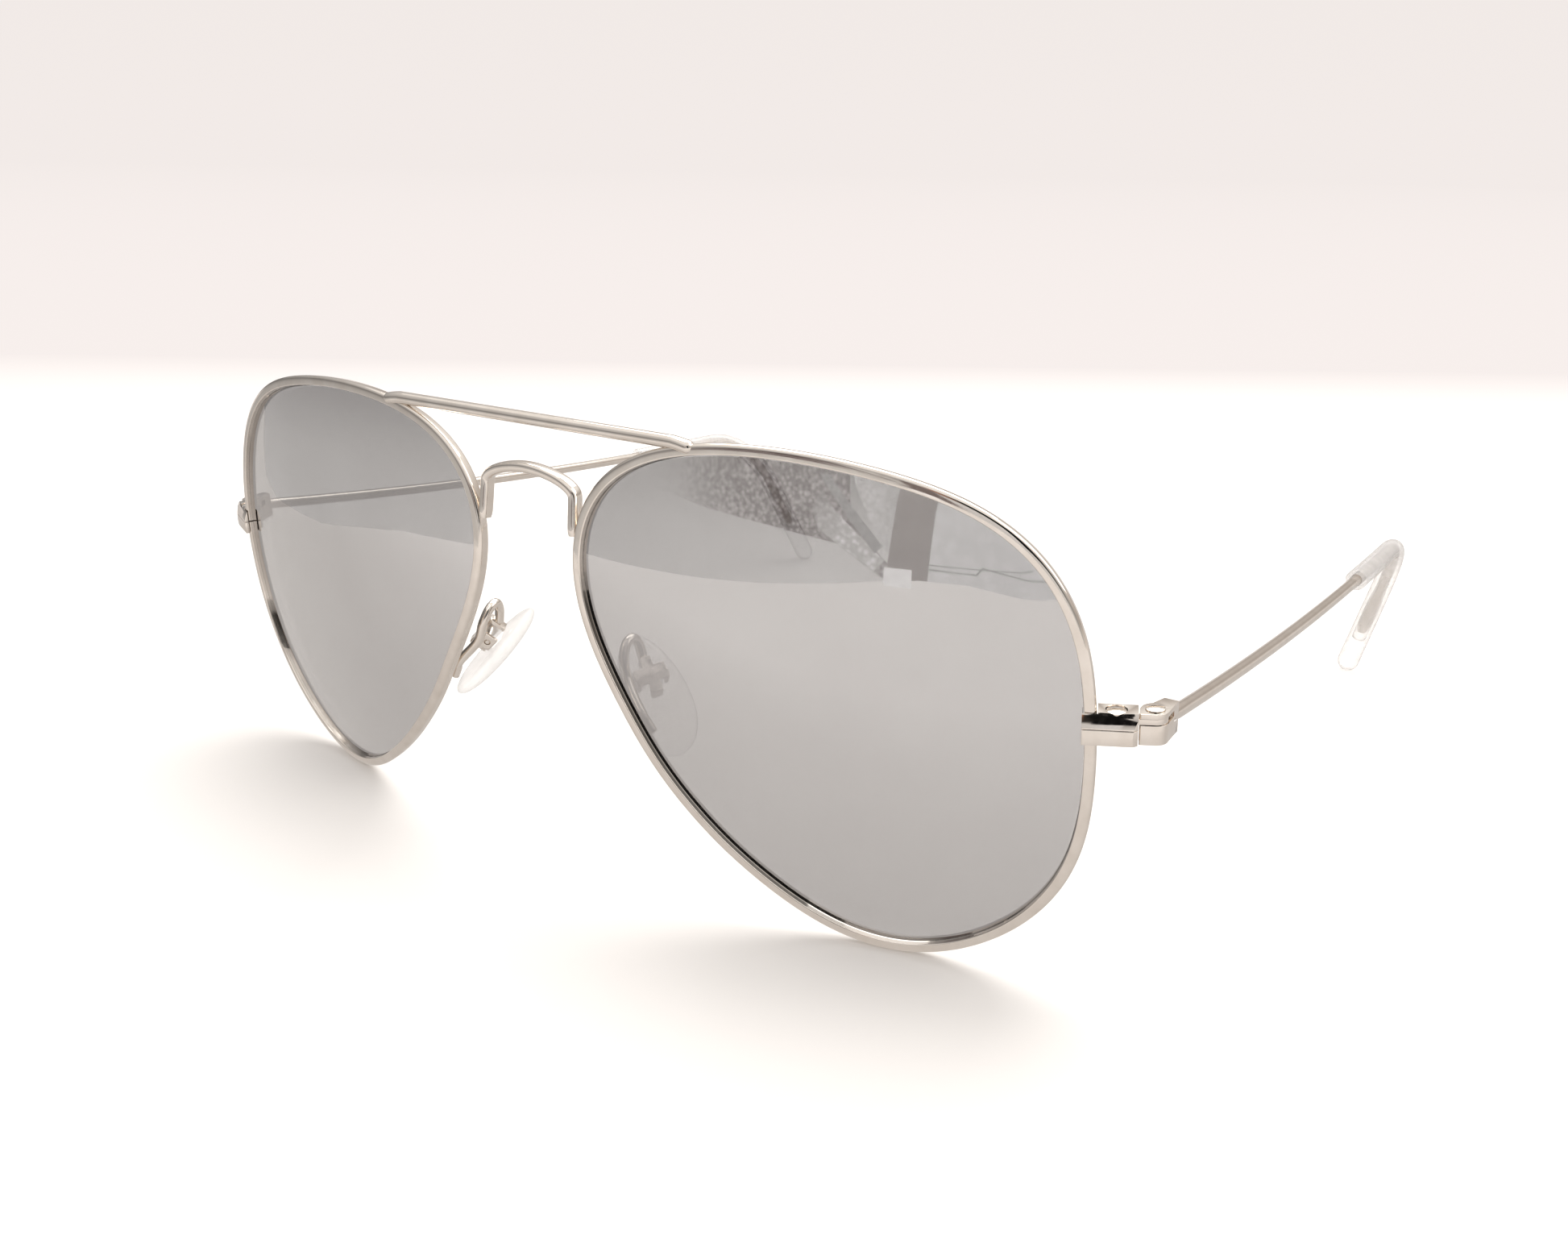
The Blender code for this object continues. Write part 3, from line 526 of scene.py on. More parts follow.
def helper_cylinder(radius, low, high, matrix, segments=40):
    builder = bmesh.new()
    bmesh.ops.create_cone(
        builder,
        cap_ends=True,
        segments=segments,
        radius1=radius,
        radius2=radius,
        depth=high - low,
        matrix=matrix @ Matrix.Translation((0, 0, (low + high) / 2)),
    )
    return helper_mesh(builder)


def helper_box(size, matrix):
    builder = bmesh.new()
    bmesh.ops.create_cube(builder, size=1.0, matrix=matrix @ Matrix.Diagonal((*size, 1.0)))
    return helper_mesh(builder)


def screw(name, head, shank, matrix, materials, sign):
    """A turned screw with a crowned, slotted head. head is radius, low and high; shank is radius and tip."""
    head_radius, head_low, head_high = head
    shank_radius, tip = shank
    profile = [(0.0, head_high)]
    for turn in np.linspace(0, 1, 7)[1:]:
        profile.append((head_radius * turn, head_high - SCREW_CROWN * turn**2))
    profile += [(head_radius, head_low), (shank_radius, head_low)]
    profile += [(shank_radius, tip + SCREW_POINT), (shank_radius - SCREW_POINT, tip), (0.0, tip)]
    builder = bmesh.new()
    points = [builder.verts.new((radius, 0, height)) for radius, height in profile]
    edges = [builder.edges.new(pair) for pair in zip(points, points[1:])]
    bmesh.ops.spin(
        builder, geom=points + edges, axis=(0, 0, 1), cent=(0, 0, 0), steps=40, angle=math.tau
    )
    bmesh.ops.remove_doubles(builder, verts=builder.verts, dist=1e-4)
    bmesh.ops.transform(builder, matrix=matrix, verts=builder.verts)
    slot_at = matrix @ Matrix.Translation((0, 0, head_high)) @ Matrix.Rotation(SCREW_SLOT_TURN, 4, "Z")
    slot_size = (head_radius * 3, head_radius * SCREW_SLOT_WIDTH, SCREW_SLOT_DEPTH * 2)
    slot = helper_box(slot_size, slot_at)
    return finish_solid(name, builder, [("DIFFERENCE", slot)], 0.03, materials, sign)


# --- outline and lens ---


def lens_radius(angles):
    """Distance of the lens edge from the middle: one smooth closed wave through LENS_RADII."""
    count = len(LENS_RADII)
    angles = np.asarray(angles, float)
    total = np.zeros_like(angles)
    for index, radius in enumerate(LENS_RADII):
        turn = np.remainder(angles - index * math.tau / count + math.pi, math.tau) - math.pi
        near = np.abs(turn) < 1e-9
        safe = np.where(near, 1.0, turn)
        wave = np.sin(count * safe / 2) / (count * np.tan(safe / 2))
        total += radius * np.where(near, 1.0, wave)
    return total


def outline(angles, offset):
    """(across, up) of the lens outline moved outward by the offset."""
    angles = np.asarray(angles, float)
    radius = lens_radius(angles)
    slope = (lens_radius(angles + 1e-3) - lens_radius(angles - 1e-3)) / 2e-3
    length = np.hypot(radius, slope)
    across = radius + offset * radius / length
    along = -offset * slope / length
    return (
        across * np.cos(angles) - along * np.sin(angles),
        across * np.sin(angles) + along * np.cos(angles),
    )


def on_curve(across, up, depth):
    """Flat lens points laid on the spherical base curve of the left lens, depth being forward."""
    height = np.sqrt(BASE_CURVE_RADIUS**2 - across**2 - up**2)
    scale = 1 + depth / BASE_CURVE_RADIUS
    forward = height * scale - BASE_CURVE_RADIUS
    across = across * scale
    return np.stack(
        [
            LENS_CENTRE_X + across * math.cos(WRAP_ANGLE) + forward * math.sin(WRAP_ANGLE),
            across * math.sin(WRAP_ANGLE) - forward * math.cos(WRAP_ANGLE),
            up * scale,
        ],
        -1,
    )


def rim_profile():
    """The eyewire's section: rounded outside with a flatter front, and the lens groove inside."""

    def bend(outward, forward, radius, first, last, count):
        turns = np.radians(np.linspace(first, last, count))
        return [(outward + radius * math.cos(t), forward + radius * math.sin(t)) for t in turns]

    half, corner, lip = RIM_HALF_DEPTH, 0.42, 0.14
    points = [(RIM_INSIDE, 0.06), (RIM_INSIDE, 0.50)]
    points += bend(RIM_INSIDE + lip, half - lip - 0.06, lip, 180, 90, 6)
    points.append((0.02, half - 0.005))
    points += bend(RIM_OUTSIDE - corner, half - corner, corner, 90, 0, 9)
    points += bend(RIM_OUTSIDE - corner, corner - half, corner, 0, -90, 9)
    points += bend(RIM_INSIDE + lip, lip - half, lip, -90, -180, 5)
    points += [(RIM_INSIDE, -0.56), (0.14, -0.24), (0.14, -0.12)]
    return points


def build_rims(metal):
    """Eyewires, each slit where the closing block clamps it."""
    slit = RIM_SLIT / 2 / RIM_AT_BLOCK
    start = math.asin(BLOCK_SPLIT_Z / RIM_AT_BLOCK) - 0.002
    angles = np.linspace(start + slit, start + math.tau - slit, RIM_STATIONS)
    columns = [on_curve(*outline(angles, offset), depth) for offset, depth in rim_profile()]
    points, faces = skin(np.stack(columns, 1))
    place_pair("eyewire", points, faces, [metal], "front", "rim", "nickel", sharp=50)


def build_lenses(coat, back):
    """Mirrored lenses, the coat on the front and the tint on the edge and behind."""
    directions = 144
    angles = np.linspace(0, math.tau, directions, endpoint=False)
    inside = RIM_INSIDE - 0.08
    shares = np.linspace(0, 1, 26)[1:]
    rings = [(share, inside, LENS_FRONT) for share in shares]
    front_rings = len(rings)
    rings += [(1.0, inside, -0.04), (1.0, -0.02, -0.17), (1.0, inside, -0.40)]
    rings += [(share, inside, LENS_FRONT - LENS_THICKNESS) for share in shares[::-1]]
    sections = []
    for share, offset, depth in rings:
        across, up = outline(angles, offset)
        sections.append(on_curve(share * across, share * up, depth))
    points, faces = skin(sections)
    faces = faces[:-2]
    middle = on_curve(np.zeros(1), np.zeros(1), LENS_FRONT)
    rear = on_curve(np.zeros(1), np.zeros(1), LENS_FRONT - LENS_THICKNESS)
    points = np.vstack([points, middle, rear])
    first, last = len(points) - 2, len(points) - 1
    start = (len(rings) - 1) * directions
    indices = [0 if face // directions < front_rings - 1 else 1 for face in range(len(faces))]
    for side in range(directions):
        after = (side + 1) % directions
        faces.append((first, after, side))
        indices.append(0)
        faces.append((last, start + side, start + after))
        indices.append(1)
    place_pair(
        "lens_glass", points, faces, [coat, back], "front", "lens", "mirror_lens", indices, sharp=30
    )


# --- bridge and brow bar ---


def build_bridge(metal):
    """The saddle bridge: an oval wire with a flat front face, its feet soldered along the rims."""
    foot, shoulder, top = (np.array(place) for place in (BRIDGE_FOOT, BRIDGE_SHOULDER, BRIDGE_TOP))
    legs = [foot + (shoulder - foot) * share for share in np.linspace(0, 1, 12, endpoint=False)]
    arch = []
    for turn in np.linspace(0, math.pi, 61):
        across = math.cos(turn)
        rise = max(1 - abs(across) ** BRIDGE_ARCH_POWER, 0.0) ** (1 / BRIDGE_ARCH_POWER)
        arch.append(
            (
                shoulder[0] * across,
                top[1] + (shoulder[1] - top[1]) * across**2,
                shoulder[2] + (top[2] - shoulder[2]) * rise,
            )
        )
    other = [np.array([-p[0], p[1], p[2]]) for p in reversed(legs)]
    points = np.array([*legs, *arch, *other])
    # evens out the bends where the legs meet the arch
    for _ in range(6):
        points[1:-1] = 0.25 * points[:-2] + 0.5 * points[1:-1] + 0.25 * points[2:]
    frames = steered_frames(points, (0, -1, 0))
    base = rounded_section(BRIDGE_HALF_DEPTH, BRIDGE_HALF_WIDTH, 2.9, 40)
    scales = np.ones(len(points))
    scales[:3] = scales[-3:][::-1] = (0.80, 0.93, 0.985)
    skin_points, faces = skin(swept(points, frames, [base * s for s in scales]))
    mesh = make_mesh("saddle_bridge", skin_points, faces, [metal], sharp=50)
    place("saddle_bridge", mesh, "front", ["bridge"], "nickel")


def build_brow(metal):
    """The brow bar: a straight wire whose ends bend down on the backs of the rims."""
    end_x, end_y, end_z = BROW_END
    knots = []
    for share in np.linspace(-1, 1, 49):
        dip = 0.30 * max(abs(share) - 0.93, 0.0) / 0.07
        knots.append((share * end_x, end_y, end_z - dip))
    points, faces = tube(knots, BROW_RADIUS, 32)
    mesh = make_mesh("brow_wire", points, faces, [metal], sharp=60)
    place("brow_wire", mesh, "front", ["brow_bar"], "nickel")


# --- closing block and hinge ---

ANCHOR = on_curve(*outline(np.array(math.radians(5.4)), 0.0), 0.0)[:2]
BLOCK_ANGLE = WRAP_ANGLE + math.asin(RIM_AT_BLOCK / BASE_CURVE_RADIUS)
OUTWARD = np.array([math.cos(BLOCK_ANGLE), math.sin(BLOCK_ANGLE)])
FORWARD = np.array([math.sin(BLOCK_ANGLE), -math.cos(BLOCK_ANGLE)])


def on_block(outward, forward):
    return ANCHOR + outward * OUTWARD + forward * FORWARD


def at_hinge(outward, forward):
    return HINGE + outward * OUTWARD + forward * FORWARD


def arc(centre, radius, first, last, steps):
    turns = np.radians(np.linspace(first, last, steps + 1))
    return [centre + radius * np.array([math.cos(t), math.sin(t)]) for t in turns]


def upright(place_at):
    return Matrix.Translation((float(place_at[0]), float(place_at[1]), 0.0))


def build_blocks(metal):
    """Closing blocks in two halves, the upper one with the hinge tongue, and their lock screws."""
    front_gap = RIM_HALF_DEPTH + SEAT_GAP
    side_gap = RIM_OUTSIDE + SEAT_GAP
    plan = [
        on_block(LIP_START, front_gap),
        on_block(LIP_START + 0.02, BLOCK_FRONT - 0.12),
        on_block(LIP_START + 0.25, BLOCK_FRONT),
        on_block(BLOCK_END - 0.5, BLOCK_FRONT),
        on_block(BLOCK_END, BLOCK_FRONT - 0.4),
        on_block(BLOCK_END, BLOCK_BACK),
        on_block(side_gap, BLOCK_BACK),
        on_block(side_gap, front_gap),
    ]
    block_degrees = math.degrees(BLOCK_ANGLE)
    radius = BARREL_RADIUS - 0.1
    tongue_plan = [at_hinge(TONGUE_START, radius), at_hinge(TONGUE_START, 0.1)]
    tongue_plan += arc(HINGE, radius, block_degrees + 180, block_degrees - 90, 36)
    crown_middle = on_block(2.0, BLOCK_FRONT - CROWN_RADIUS)
    crown_turn = Matrix.Rotation(BLOCK_ANGLE, 4, "Z") @ Matrix.Rotation(math.pi / 2, 4, "Y")
    crown_at = Matrix.Translation((*map(float, crown_middle), CROWN_Z)) @ crown_turn
    lock_at = upright(on_block(*LOCK_SCREW_AT))
    crown = ("INTERSECT", helper_cylinder(CROWN_RADIUS, -6, 6, crown_at, 120))
    bore = ("DIFFERENCE", helper_cylinder(SCREW_RADIUS + 0.1, -1, 6, lock_at))
    upper_cuts = [
        crown,
        ("UNION", helper_mesh(extruded(tongue_plan, *TONGUE_Z))),
        bore,
        ("DIFFERENCE", helper_cylinder(LOCK_SINK_RADIUS, BLOCK_TOP_Z - LOCK_SINK_DEPTH, 6, lock_at)),
        ("DIFFERENCE", helper_cylinder(SCREW_RADIUS + 0.06, -1, 6, upright(HINGE))),
    ]
    halves = (
        ("upper", BLOCK_SPLIT_Z + SPLIT_HALF_GAP, BLOCK_TOP_Z, upper_cuts),
        ("lower", BLOCK_BOTTOM_Z, BLOCK_SPLIT_Z - SPLIT_HALF_GAP, [crown, bore]),
    )
    head = (SCREW_HEAD_RADIUS, BLOCK_TOP_Z - 0.48, BLOCK_TOP_Z + 0.06)
    for side, sign in SIDES:
        for half, low, high, cuts in halves:
            name = f"block_{half}_{side}"
            mesh = finish_solid(name, extruded(plan, low, high), cuts, BLOCK_EDGE, [metal], sign)
            place(name, mesh, "front", [f"endpiece_{half}_{side}"], "nickel")
        name = f"lock_screw_{side}"
        mesh = screw(name, head, (SCREW_RADIUS, 0.95), lock_at, [metal], sign)
        place(name, mesh, "front", [f"rim_lock_screw_{side}"], "nickel")


def build_hinges(metal):
    """The temples' forked hinge blocks and their screws."""
    block_degrees = math.degrees(BLOCK_ANGLE)
    stop = BARREL_RADIUS + 0.08
    plan = [
        at_hinge(-stop, 0.0),
        at_hinge(-stop, BARREL_RADIUS - 0.12),
        at_hinge(-stop + 0.12, BARREL_RADIUS),
    ]
    plan += arc(HINGE, BARREL_RADIUS, block_degrees - 90, 10, 14)
    plan += [HINGE + tail for tail in ((1.30, 1.2), (1.22, 2.9), (-0.30, 2.9), (-0.55, 2.0))]
    plan += arc(HINGE, BARREL_RADIUS, block_degrees + 100, block_degrees + 165, 10)
    slot_low, slot_high = FORK_SLOT_Z
    slot_at = Matrix.Translation((HINGE[0], HINGE[1] - 0.85, (slot_low + slot_high) / 2))
    socket = tube(temple_path([0.0, 0.5, 4.0]), WIRE_RADIUS + 0.04, 24, 0.05)
    cutters = [
        helper_box((6.0, 5.0, slot_high - slot_low), slot_at),
        helper_cylinder(SCREW_RADIUS + 0.06, -1, 6, upright(HINGE)),
        helper_mesh(filled(*socket)),
    ]
    cuts = [("DIFFERENCE", cutter) for cutter in cutters]
    head = (SCREW_HEAD_RADIUS, FORK_Z[1] + 0.03, FORK_Z[1] + 0.33)
    for side, sign in SIDES:
        name = f"hinge_block_{side}"
        mesh = finish_solid(name, extruded(plan, *FORK_Z), cuts, FORK_EDGE, [metal], sign)
        place(name, mesh, f"temple_{side}", [f"temple_hinge_{side}"], "nickel")
        name = f"hinge_pin_{side}"
        mesh = screw(name, head, (SCREW_RADIUS, 0.35), upright(HINGE), [metal], sign)
        place(name, mesh, f"temple_{side}", [f"hinge_screw_{side}"], "nickel")


# --- temples ---


def temple_path(distances):
    """Points along the left temple at these distances from its start in the hinge block."""
    straight_drop = TEMPLE_DROP + TEMPLE_LIFT_PER_MM * TEMPLE_STRAIGHT
    bend_length = EAR_BEND_RADIUS * (EAR_DROP - straight_drop)
    small = 0.25
    steps = np.arange(0.0, TEMPLE_LENGTH + small, small)
    bent = np.clip((steps - TEMPLE_STRAIGHT) / bend_length, 0.0, 1.0)
    drop = TEMPLE_DROP + TEMPLE_LIFT_PER_MM * np.minimum(steps, TEMPLE_STRAIGHT)
    drop = drop + bent * (EAR_DROP - straight_drop)
    inward = bent * EAR_INWARD
    heading = math.atan(TEMPLE_SPLAY) - inward
    moves = small * np.stack(
        [
            np.sin(heading) * np.cos(drop) - np.sin(inward) * np.sin(drop),
            np.cos(heading) * np.cos(drop),
            -np.sin(drop),
        ]
    )
    places = np.array(TEMPLE_START)[:, None] + np.cumsum(moves, axis=1) - moves[:, :1]
    return np.stack([np.interp(distances, steps, row) for row in places], 1)


def build_rods(metal):
    """Temple wires, each flattened where it ends in its sock."""
    straight = np.arange(0.1, TEMPLE_STRAIGHT, 2.5)
    distances = np.concatenate([straight, np.arange(TEMPLE_STRAIGHT, CORE_END, 0.8)])
    path = temple_path(distances)
    sections = []
    for distance in distances:
        flat = min(max((distance - PADDLE_START) / PADDLE_TAPER, 0.0), 1.0)
        flat = flat * flat * (3 - 2 * flat)
        wide, thin = WIRE_RADIUS + 0.28 * flat, WIRE_RADIUS - 0.22 * flat
        sections.append(rounded_section(wide, thin, 2.0 + 0.6 * flat, 28))
    sections[0] = sections[0] * 0.8
    sections[-1] = sections[-1] * 0.55
    sections[-2] = sections[-2] * 0.85
    points, faces = skin(swept(path, steered_frames(path, PADDLE_FACES), sections))
    place_pair("temple_rod", points, faces, [metal], "temple", "temple_wire", "nickel", sharp=50)


def sock_stations():
    """(distance, radius) along the sock: up its bore from the closed end, then down its outside."""
    last = TEMPLE_LENGTH - SOCK_TIP_RADIUS
    bore = WIRE_RADIUS + 0.10
    inside = [(SOCK_START, bore)]
    for distance in np.arange(SOCK_START + 1.0, CORE_END + 0.4, 0.9):
        flat = min(max((distance - PADDLE_START + 1.0) / PADDLE_TAPER, 0.0), 1.0)
        inside.append((distance, bore + 0.24 * flat))
    inside += [(CORE_END + 0.6, 0.75), (CORE_END + 0.8, 0.30)]
    outside = []
    for share in (0.0, 0.3, 0.6, 0.85, 1.0):
        rounding = 1 - math.sqrt(1 - (1 - share) ** 2)
        outside.append((SOCK_START + SOCK_LIP * share, SOCK_RADIUS - SOCK_LIP * rounding))
    for distance in np.arange(SOCK_START + 1.0, last - 0.4, 0.9):
        share = min(max((distance - TEMPLE_STRAIGHT) / (last - TEMPLE_STRAIGHT), 0.0), 1.0)
        outside.append((distance, SOCK_RADIUS + share * (SOCK_TIP_RADIUS - SOCK_RADIUS)))
    for turn in np.radians(np.linspace(0, 84, 9)):
        outside.append((last + SOCK_TIP_RADIUS * math.sin(turn), SOCK_TIP_RADIUS * math.cos(turn)))
    return inside[::-1] + outside


def build_socks(clear):
    """The clear socks over the temple wires' ends."""
    stations = sock_stations()
    path = temple_path(np.array([distance for distance, _ in stations]))
    guide = temple_path(np.arange(SOCK_START - 2, TEMPLE_LENGTH, 0.5))
    _, first, second = steered_frames(guide, PADDLE_FACES)
    circle = rounded_section(1.0, 1.0, 2.0, 36)
    rings = []
    for point, (_, radius) in zip(path, stations):
        nearest = int(np.argmin(((guide - point) ** 2).sum(1)))
        rings.append(point + radius * (circle[:, :1] * first[nearest] + circle[:, 1:] * second[nearest]))
    points, faces = skin(rings)
    place_pair("sock", points, faces, [clear], "temple", "ear_sock", "clear_plastic", sharp=60)


# --- nose pads ---


def pad_matrix():
    """Matrix of the left pad: X across it, Y up along it, Z out of its back, towards its box."""
    up = unit(-PAD_LONG_AXIS)
    back = -PAD_NORMAL
    back = unit(back - back @ up * up)
    return axes_at(PAD_CENTRE, np.cross(up, back), up, back)


def moved_by(matrix, points):
    matrix = np.array(matrix)
    return np.asarray(points, float) @ matrix[:3, :3].T + matrix[:3, 3]


def pad_skin(matrix):
    """Points and faces of a pad: a domed egg outline with a flatter back."""
    steps = 64
    turns = np.linspace(0, math.tau, steps, endpoint=False)
    along = np.sin(turns)
    across = np.cos(turns) * (1.0 - 0.16 * along)
    # (share of the outline, height) from the middle of the dome to the middle of the back
    layers = [(math.sin(t), math.cos(t) ** 0.9) for t in np.linspace(0.06, math.pi / 2, 12)]
    layers += [(0.985, -0.14), (0.955, -0.26), (0.90, -0.35), (0.80, -0.41)]
    layers += [(0.60, -0.44), (0.30, -0.45), (0.05, -0.45)]
    rings = []
    for share, height in layers:
        depth = np.full(steps, -height * PAD_THICKNESS * 0.69)
        ring = [across * share * PAD_WIDTH / 2, along * share * PAD_LENGTH / 2, depth]
        rings.append(moved_by(matrix, np.stack(ring, 1)))
    return skin(rings)


def pad_cup(matrix):
    """A builder with the pad's box, its uprights rounded, and the pocket in it as a helper."""
    width, length, depth = PAD_BOX_SIZE
    middle = Vector((0.0, PAD_BOX_ALONG, 1.0 + depth / 2))
    builder = bmesh.new()
    bmesh.ops.create_cube(builder, size=1.0, matrix=Matrix.Diagonal((*PAD_BOX_SIZE, 1.0)))
    uprights = [e for e in builder.edges if abs(e.verts[0].co.z - e.verts[1].co.z) > 0.5]
    bmesh.ops.bevel(builder, geom=uprights, offset=1.25, segments=6, affect="EDGES")
    bmesh.ops.transform(builder, matrix=matrix @ Matrix.Translation(middle), verts=builder.verts)
    pocket_at = matrix @ Matrix.Translation(middle - Vector((0, 0, PAD_BOX_WALL)))
    pocket = helper_box((width - 2 * PAD_BOX_WALL, length - 2 * PAD_BOX_WALL, depth), pocket_at)
    return builder, pocket


def build_pads(metal, clear):
    """Clear pads with a boss, their boxes and the screws through both."""
    matrix = pad_matrix()
    pivot = Vector(moved_by(matrix, [(0.0, PAD_BOX_ALONG, PAD_SCREW_HEIGHT)])[0])
    sideways = Matrix.Translation(pivot) @ matrix.to_3x3().to_4x4() @ Matrix.Rotation(math.pi / 2, 4, "Y")
    boss_at = matrix @ Matrix.Translation((0, PAD_BOX_ALONG, 1.35))
    pad_cuts = [
        ("UNION", helper_box(PAD_BOSS_SIZE, boss_at)),
        ("DIFFERENCE", helper_cylinder(PAD_SCREW_RADIUS + 0.06, -3, 3, sideways)),
    ]
    cup_bore = helper_cylinder(PAD_SCREW_RADIUS + 0.02, -3, 3, sideways)
    half_width = PAD_BOX_SIZE[0] / 2
    head = (PAD_SCREW_HEAD_RADIUS, half_width + 0.04, half_width + 0.36)
    for side, sign in SIDES:
        name = f"pad_{side}"
        mesh = finish_solid(name, filled(*pad_skin(matrix)), pad_cuts, PAD_EDGE, [clear], sign, 40)
        place(name, mesh, f"pad_{side}", [f"nose_pad_{side}"], "clear_plastic")
        name = f"pad_cup_{side}"
        cup, pocket = pad_cup(matrix)
        cuts = [("DIFFERENCE", pocket), ("DIFFERENCE", cup_bore)]
        mesh = finish_solid(name, cup, cuts, PAD_EDGE, [metal], sign)
        place(name, mesh, "front", [f"pad_box_{side}"], "nickel")
        name = f"pad_pin_{side}"
        mesh = screw(name, head, (PAD_SCREW_RADIUS, -half_width), sideways, [metal], sign)
        place(name, mesh, "front", [f"pad_screw_{side}"], "nickel")


def build_pad_arms(metal):
    """Swan-neck arms from the backs of the rims to the pads' boxes, flatter at the foot."""
    behind_rim = -(RIM_HALF_DEPTH + SEAT_GAP + PAD_ARM_RADIUS)
    degrees = [np.array(math.radians(angle)) for angle in PAD_ARM_ON_RIM]
    knots = [on_curve(*outline(angle, 0.25), behind_rim) for angle in degrees]
    knots += PAD_ARM_LOOP
    box_top = PAD_BOX_ALONG + PAD_BOX_SIZE[1] / 2
    knots.append(tuple(moved_by(pad_matrix(), [(0.0, box_top + 0.12, 2.15)])[0]))
    path, scales = domed_ends(smooth_path(knots, 0.3), 0.3)
    foot_length = 0.3 * len(path)
    sections = []
    for index, scale in enumerate(scales):
        foot = max(1.0 - index / foot_length, 0.0)
        half = PAD_ARM_RADIUS * scale
        wide, thin = half * (1 + 0.4 * foot), half * (1 - 0.12 * foot)
        sections.append(rounded_section(wide, thin, 2.0 + 0.4 * foot, 24))
    points, faces = skin(swept(path, steered_frames(path, (1.0, 0.25, 0.2)), sections))
    place_pair("pad_stem", points, faces, [metal], "front", "pad_arm", "nickel", sharp=60)


# --- studio ---

# The white sheet's front edge, which the lenses mirror, in millimetres on the floor
SHEET_EDGE = [
    *((-900, -60), (-600, -55), (-431, -52), (-330, -51), (-251, -53), (-212, -67), (-201, -81)),
    *((-176, -107), (-164, -139), (-149, -167), (-130, -180), (-94, -201), (-63, -219), (-35, -239)),
    *((6, -276), (35, -306), (58, -320), (92, -317), (121, -277), (141, -271), (260, -262)),
    *((500, -250), (900, -240)),
]
FLOOR_REACH = 2.5
COVE_START = 0.20
COVE_END = 0.36
ROOM_CENTRE = np.array([0.037, -0.065, 0.028])
ROOM_RADIUS = 1.4
ROOM_AZIMUTHS = range(-125, 76, 5)
ROOM_ELEVATIONS = range(-22, 41, 2)
# What stands in the room in front, its corners as (azimuth, elevation) in degrees
ROOM_PIECES = (
    dict(
        name="pebbled_fold",
        distance=1.30,
        dark=(0.10, 0.075, 0.075),
        light=(0.50, 0.455, 0.455),
        grain=70.0,
        corners=(
            *((-44, -1.5), (-32, 3.0), (-30, 9.0), (-9, 9.0), (-7.4, -2.1), (-1.4, -7.7)),
            *((-2.5, -9.3), (-9.5, -5.3), (-19, -4.3), (-30, -3.4)),
        ),
        fade=((-38.0, -6.0), (-23.0, -1.5)),
    ),
    dict(
        name="bright_fold",
        distance=1.28,
        dark=(0.50, 0.48, 0.47),
        light=(1.00, 0.99, 0.98),
        grain=52.0,
        corners=((-15, 3.0), (-13, 3.0), (-10.4, -0.5), (-2.4, -6.8), (-3.9, -8.4), (-12.2, -3.7)),
        fade=((-14.5, 2.5), (-7.0, -3.5)),
    ),
    dict(
        name="seam",
        distance=1.26,
        dark=(0.26, 0.25, 0.25),
        light=(0.36, 0.35, 0.35),
        grain=40.0,
        corners=((-12.6, 3.4), (-10.9, 3.4), (-2.7, -4.9), (-3.9, -6.0)),
    ),
    dict(
        name="cloth_beyond",
        distance=1.27,
        dark=(0.56, 0.54, 0.53),
        light=(0.74, 0.73, 0.72),
        grain=60.0,
        corners=((-10.8, 9.0), (1.0, 9.0), (0.3, -7.5), (-2.9, -5.0)),
        fade=((2.5, -1.0), (-5.0, -1.0)),
    ),
    dict(
        name="post",
        distance=1.22,
        dark=(0.19, 0.155, 0.15),
        light=(0.24, 0.20, 0.19),
        grain=8.0,
        corners=((-0.3, 9.0), (5.0, 9.0), (3.6, -11.5), (-2.4, -11.5)),
    ),
    dict(
        name="pale_wall",
        distance=1.27,
        dark=(0.68, 0.67, 0.67),
        light=(0.80, 0.79, 0.79),
        grain=30.0,
        corners=((4.4, 3.5), (30.0, 3.5), (30.0, -14.0), (3.2, -14.0)),
    ),
    dict(
        name="rail_line",
        distance=1.20,
        dark=(0.22, 0.22, 0.22),
        light=(0.30, 0.30, 0.30),
        grain=8.0,
        corners=((4.1, -6.6), (17.9, -6.4), (17.9, -6.55), (4.1, -6.75)),
    ),
    dict(
        name="lower_rail_line",
        distance=1.20,
        dark=(0.22, 0.22, 0.22),
        light=(0.30, 0.30, 0.30),
        grain=8.0,
        corners=(
            *((3.9, -7.2), (10.5, -7.3), (11.3, -6.3), (20.4, -7.9)),
            *((20.4, -8.1), (11.4, -6.5), (10.7, -7.5), (3.9, -7.4)),
        ),
    ),
    dict(
        name="opening",
        distance=1.0,
        dark=(0.012, 0.014, 0.014),
        light=(0.03, 0.032, 0.03),
        grain=5.0,
        corners=((10.0, 6.5), (19.0, 6.5), (22.0, 24.0), (10.0, 24.0)),
    ),
    dict(
        name="opening_strip",
        distance=1.0,
        dark=(0.42, 0.20, 0.12),
        light=(0.60, 0.30, 0.18),
        grain=5.0,
        corners=((6.0, 6.5), (10.0, 6.5), (10.0, 24.0), (6.0, 24.0)),
    ),
)
# A small white block near the sheet's edge: lowest and highest corner in millimetres
WHITE_BLOCK = ((34.0, -297.0, 0.0), (52.0, -288.0, 10.5))
# The camera's back, in metres
CAMERA_BACK_SIZE = (0.070, 0.105)
# Brightness of the room by elevation in degrees
ROOM_SHADES = (
    *((-22, 0.80), (-12, 0.77), (-6, 0.69), (-1, 0.52), (3, 0.36), (8, 0.32), (14, 0.52)),
    *((24, 0.70), (40, 0.92)),
)
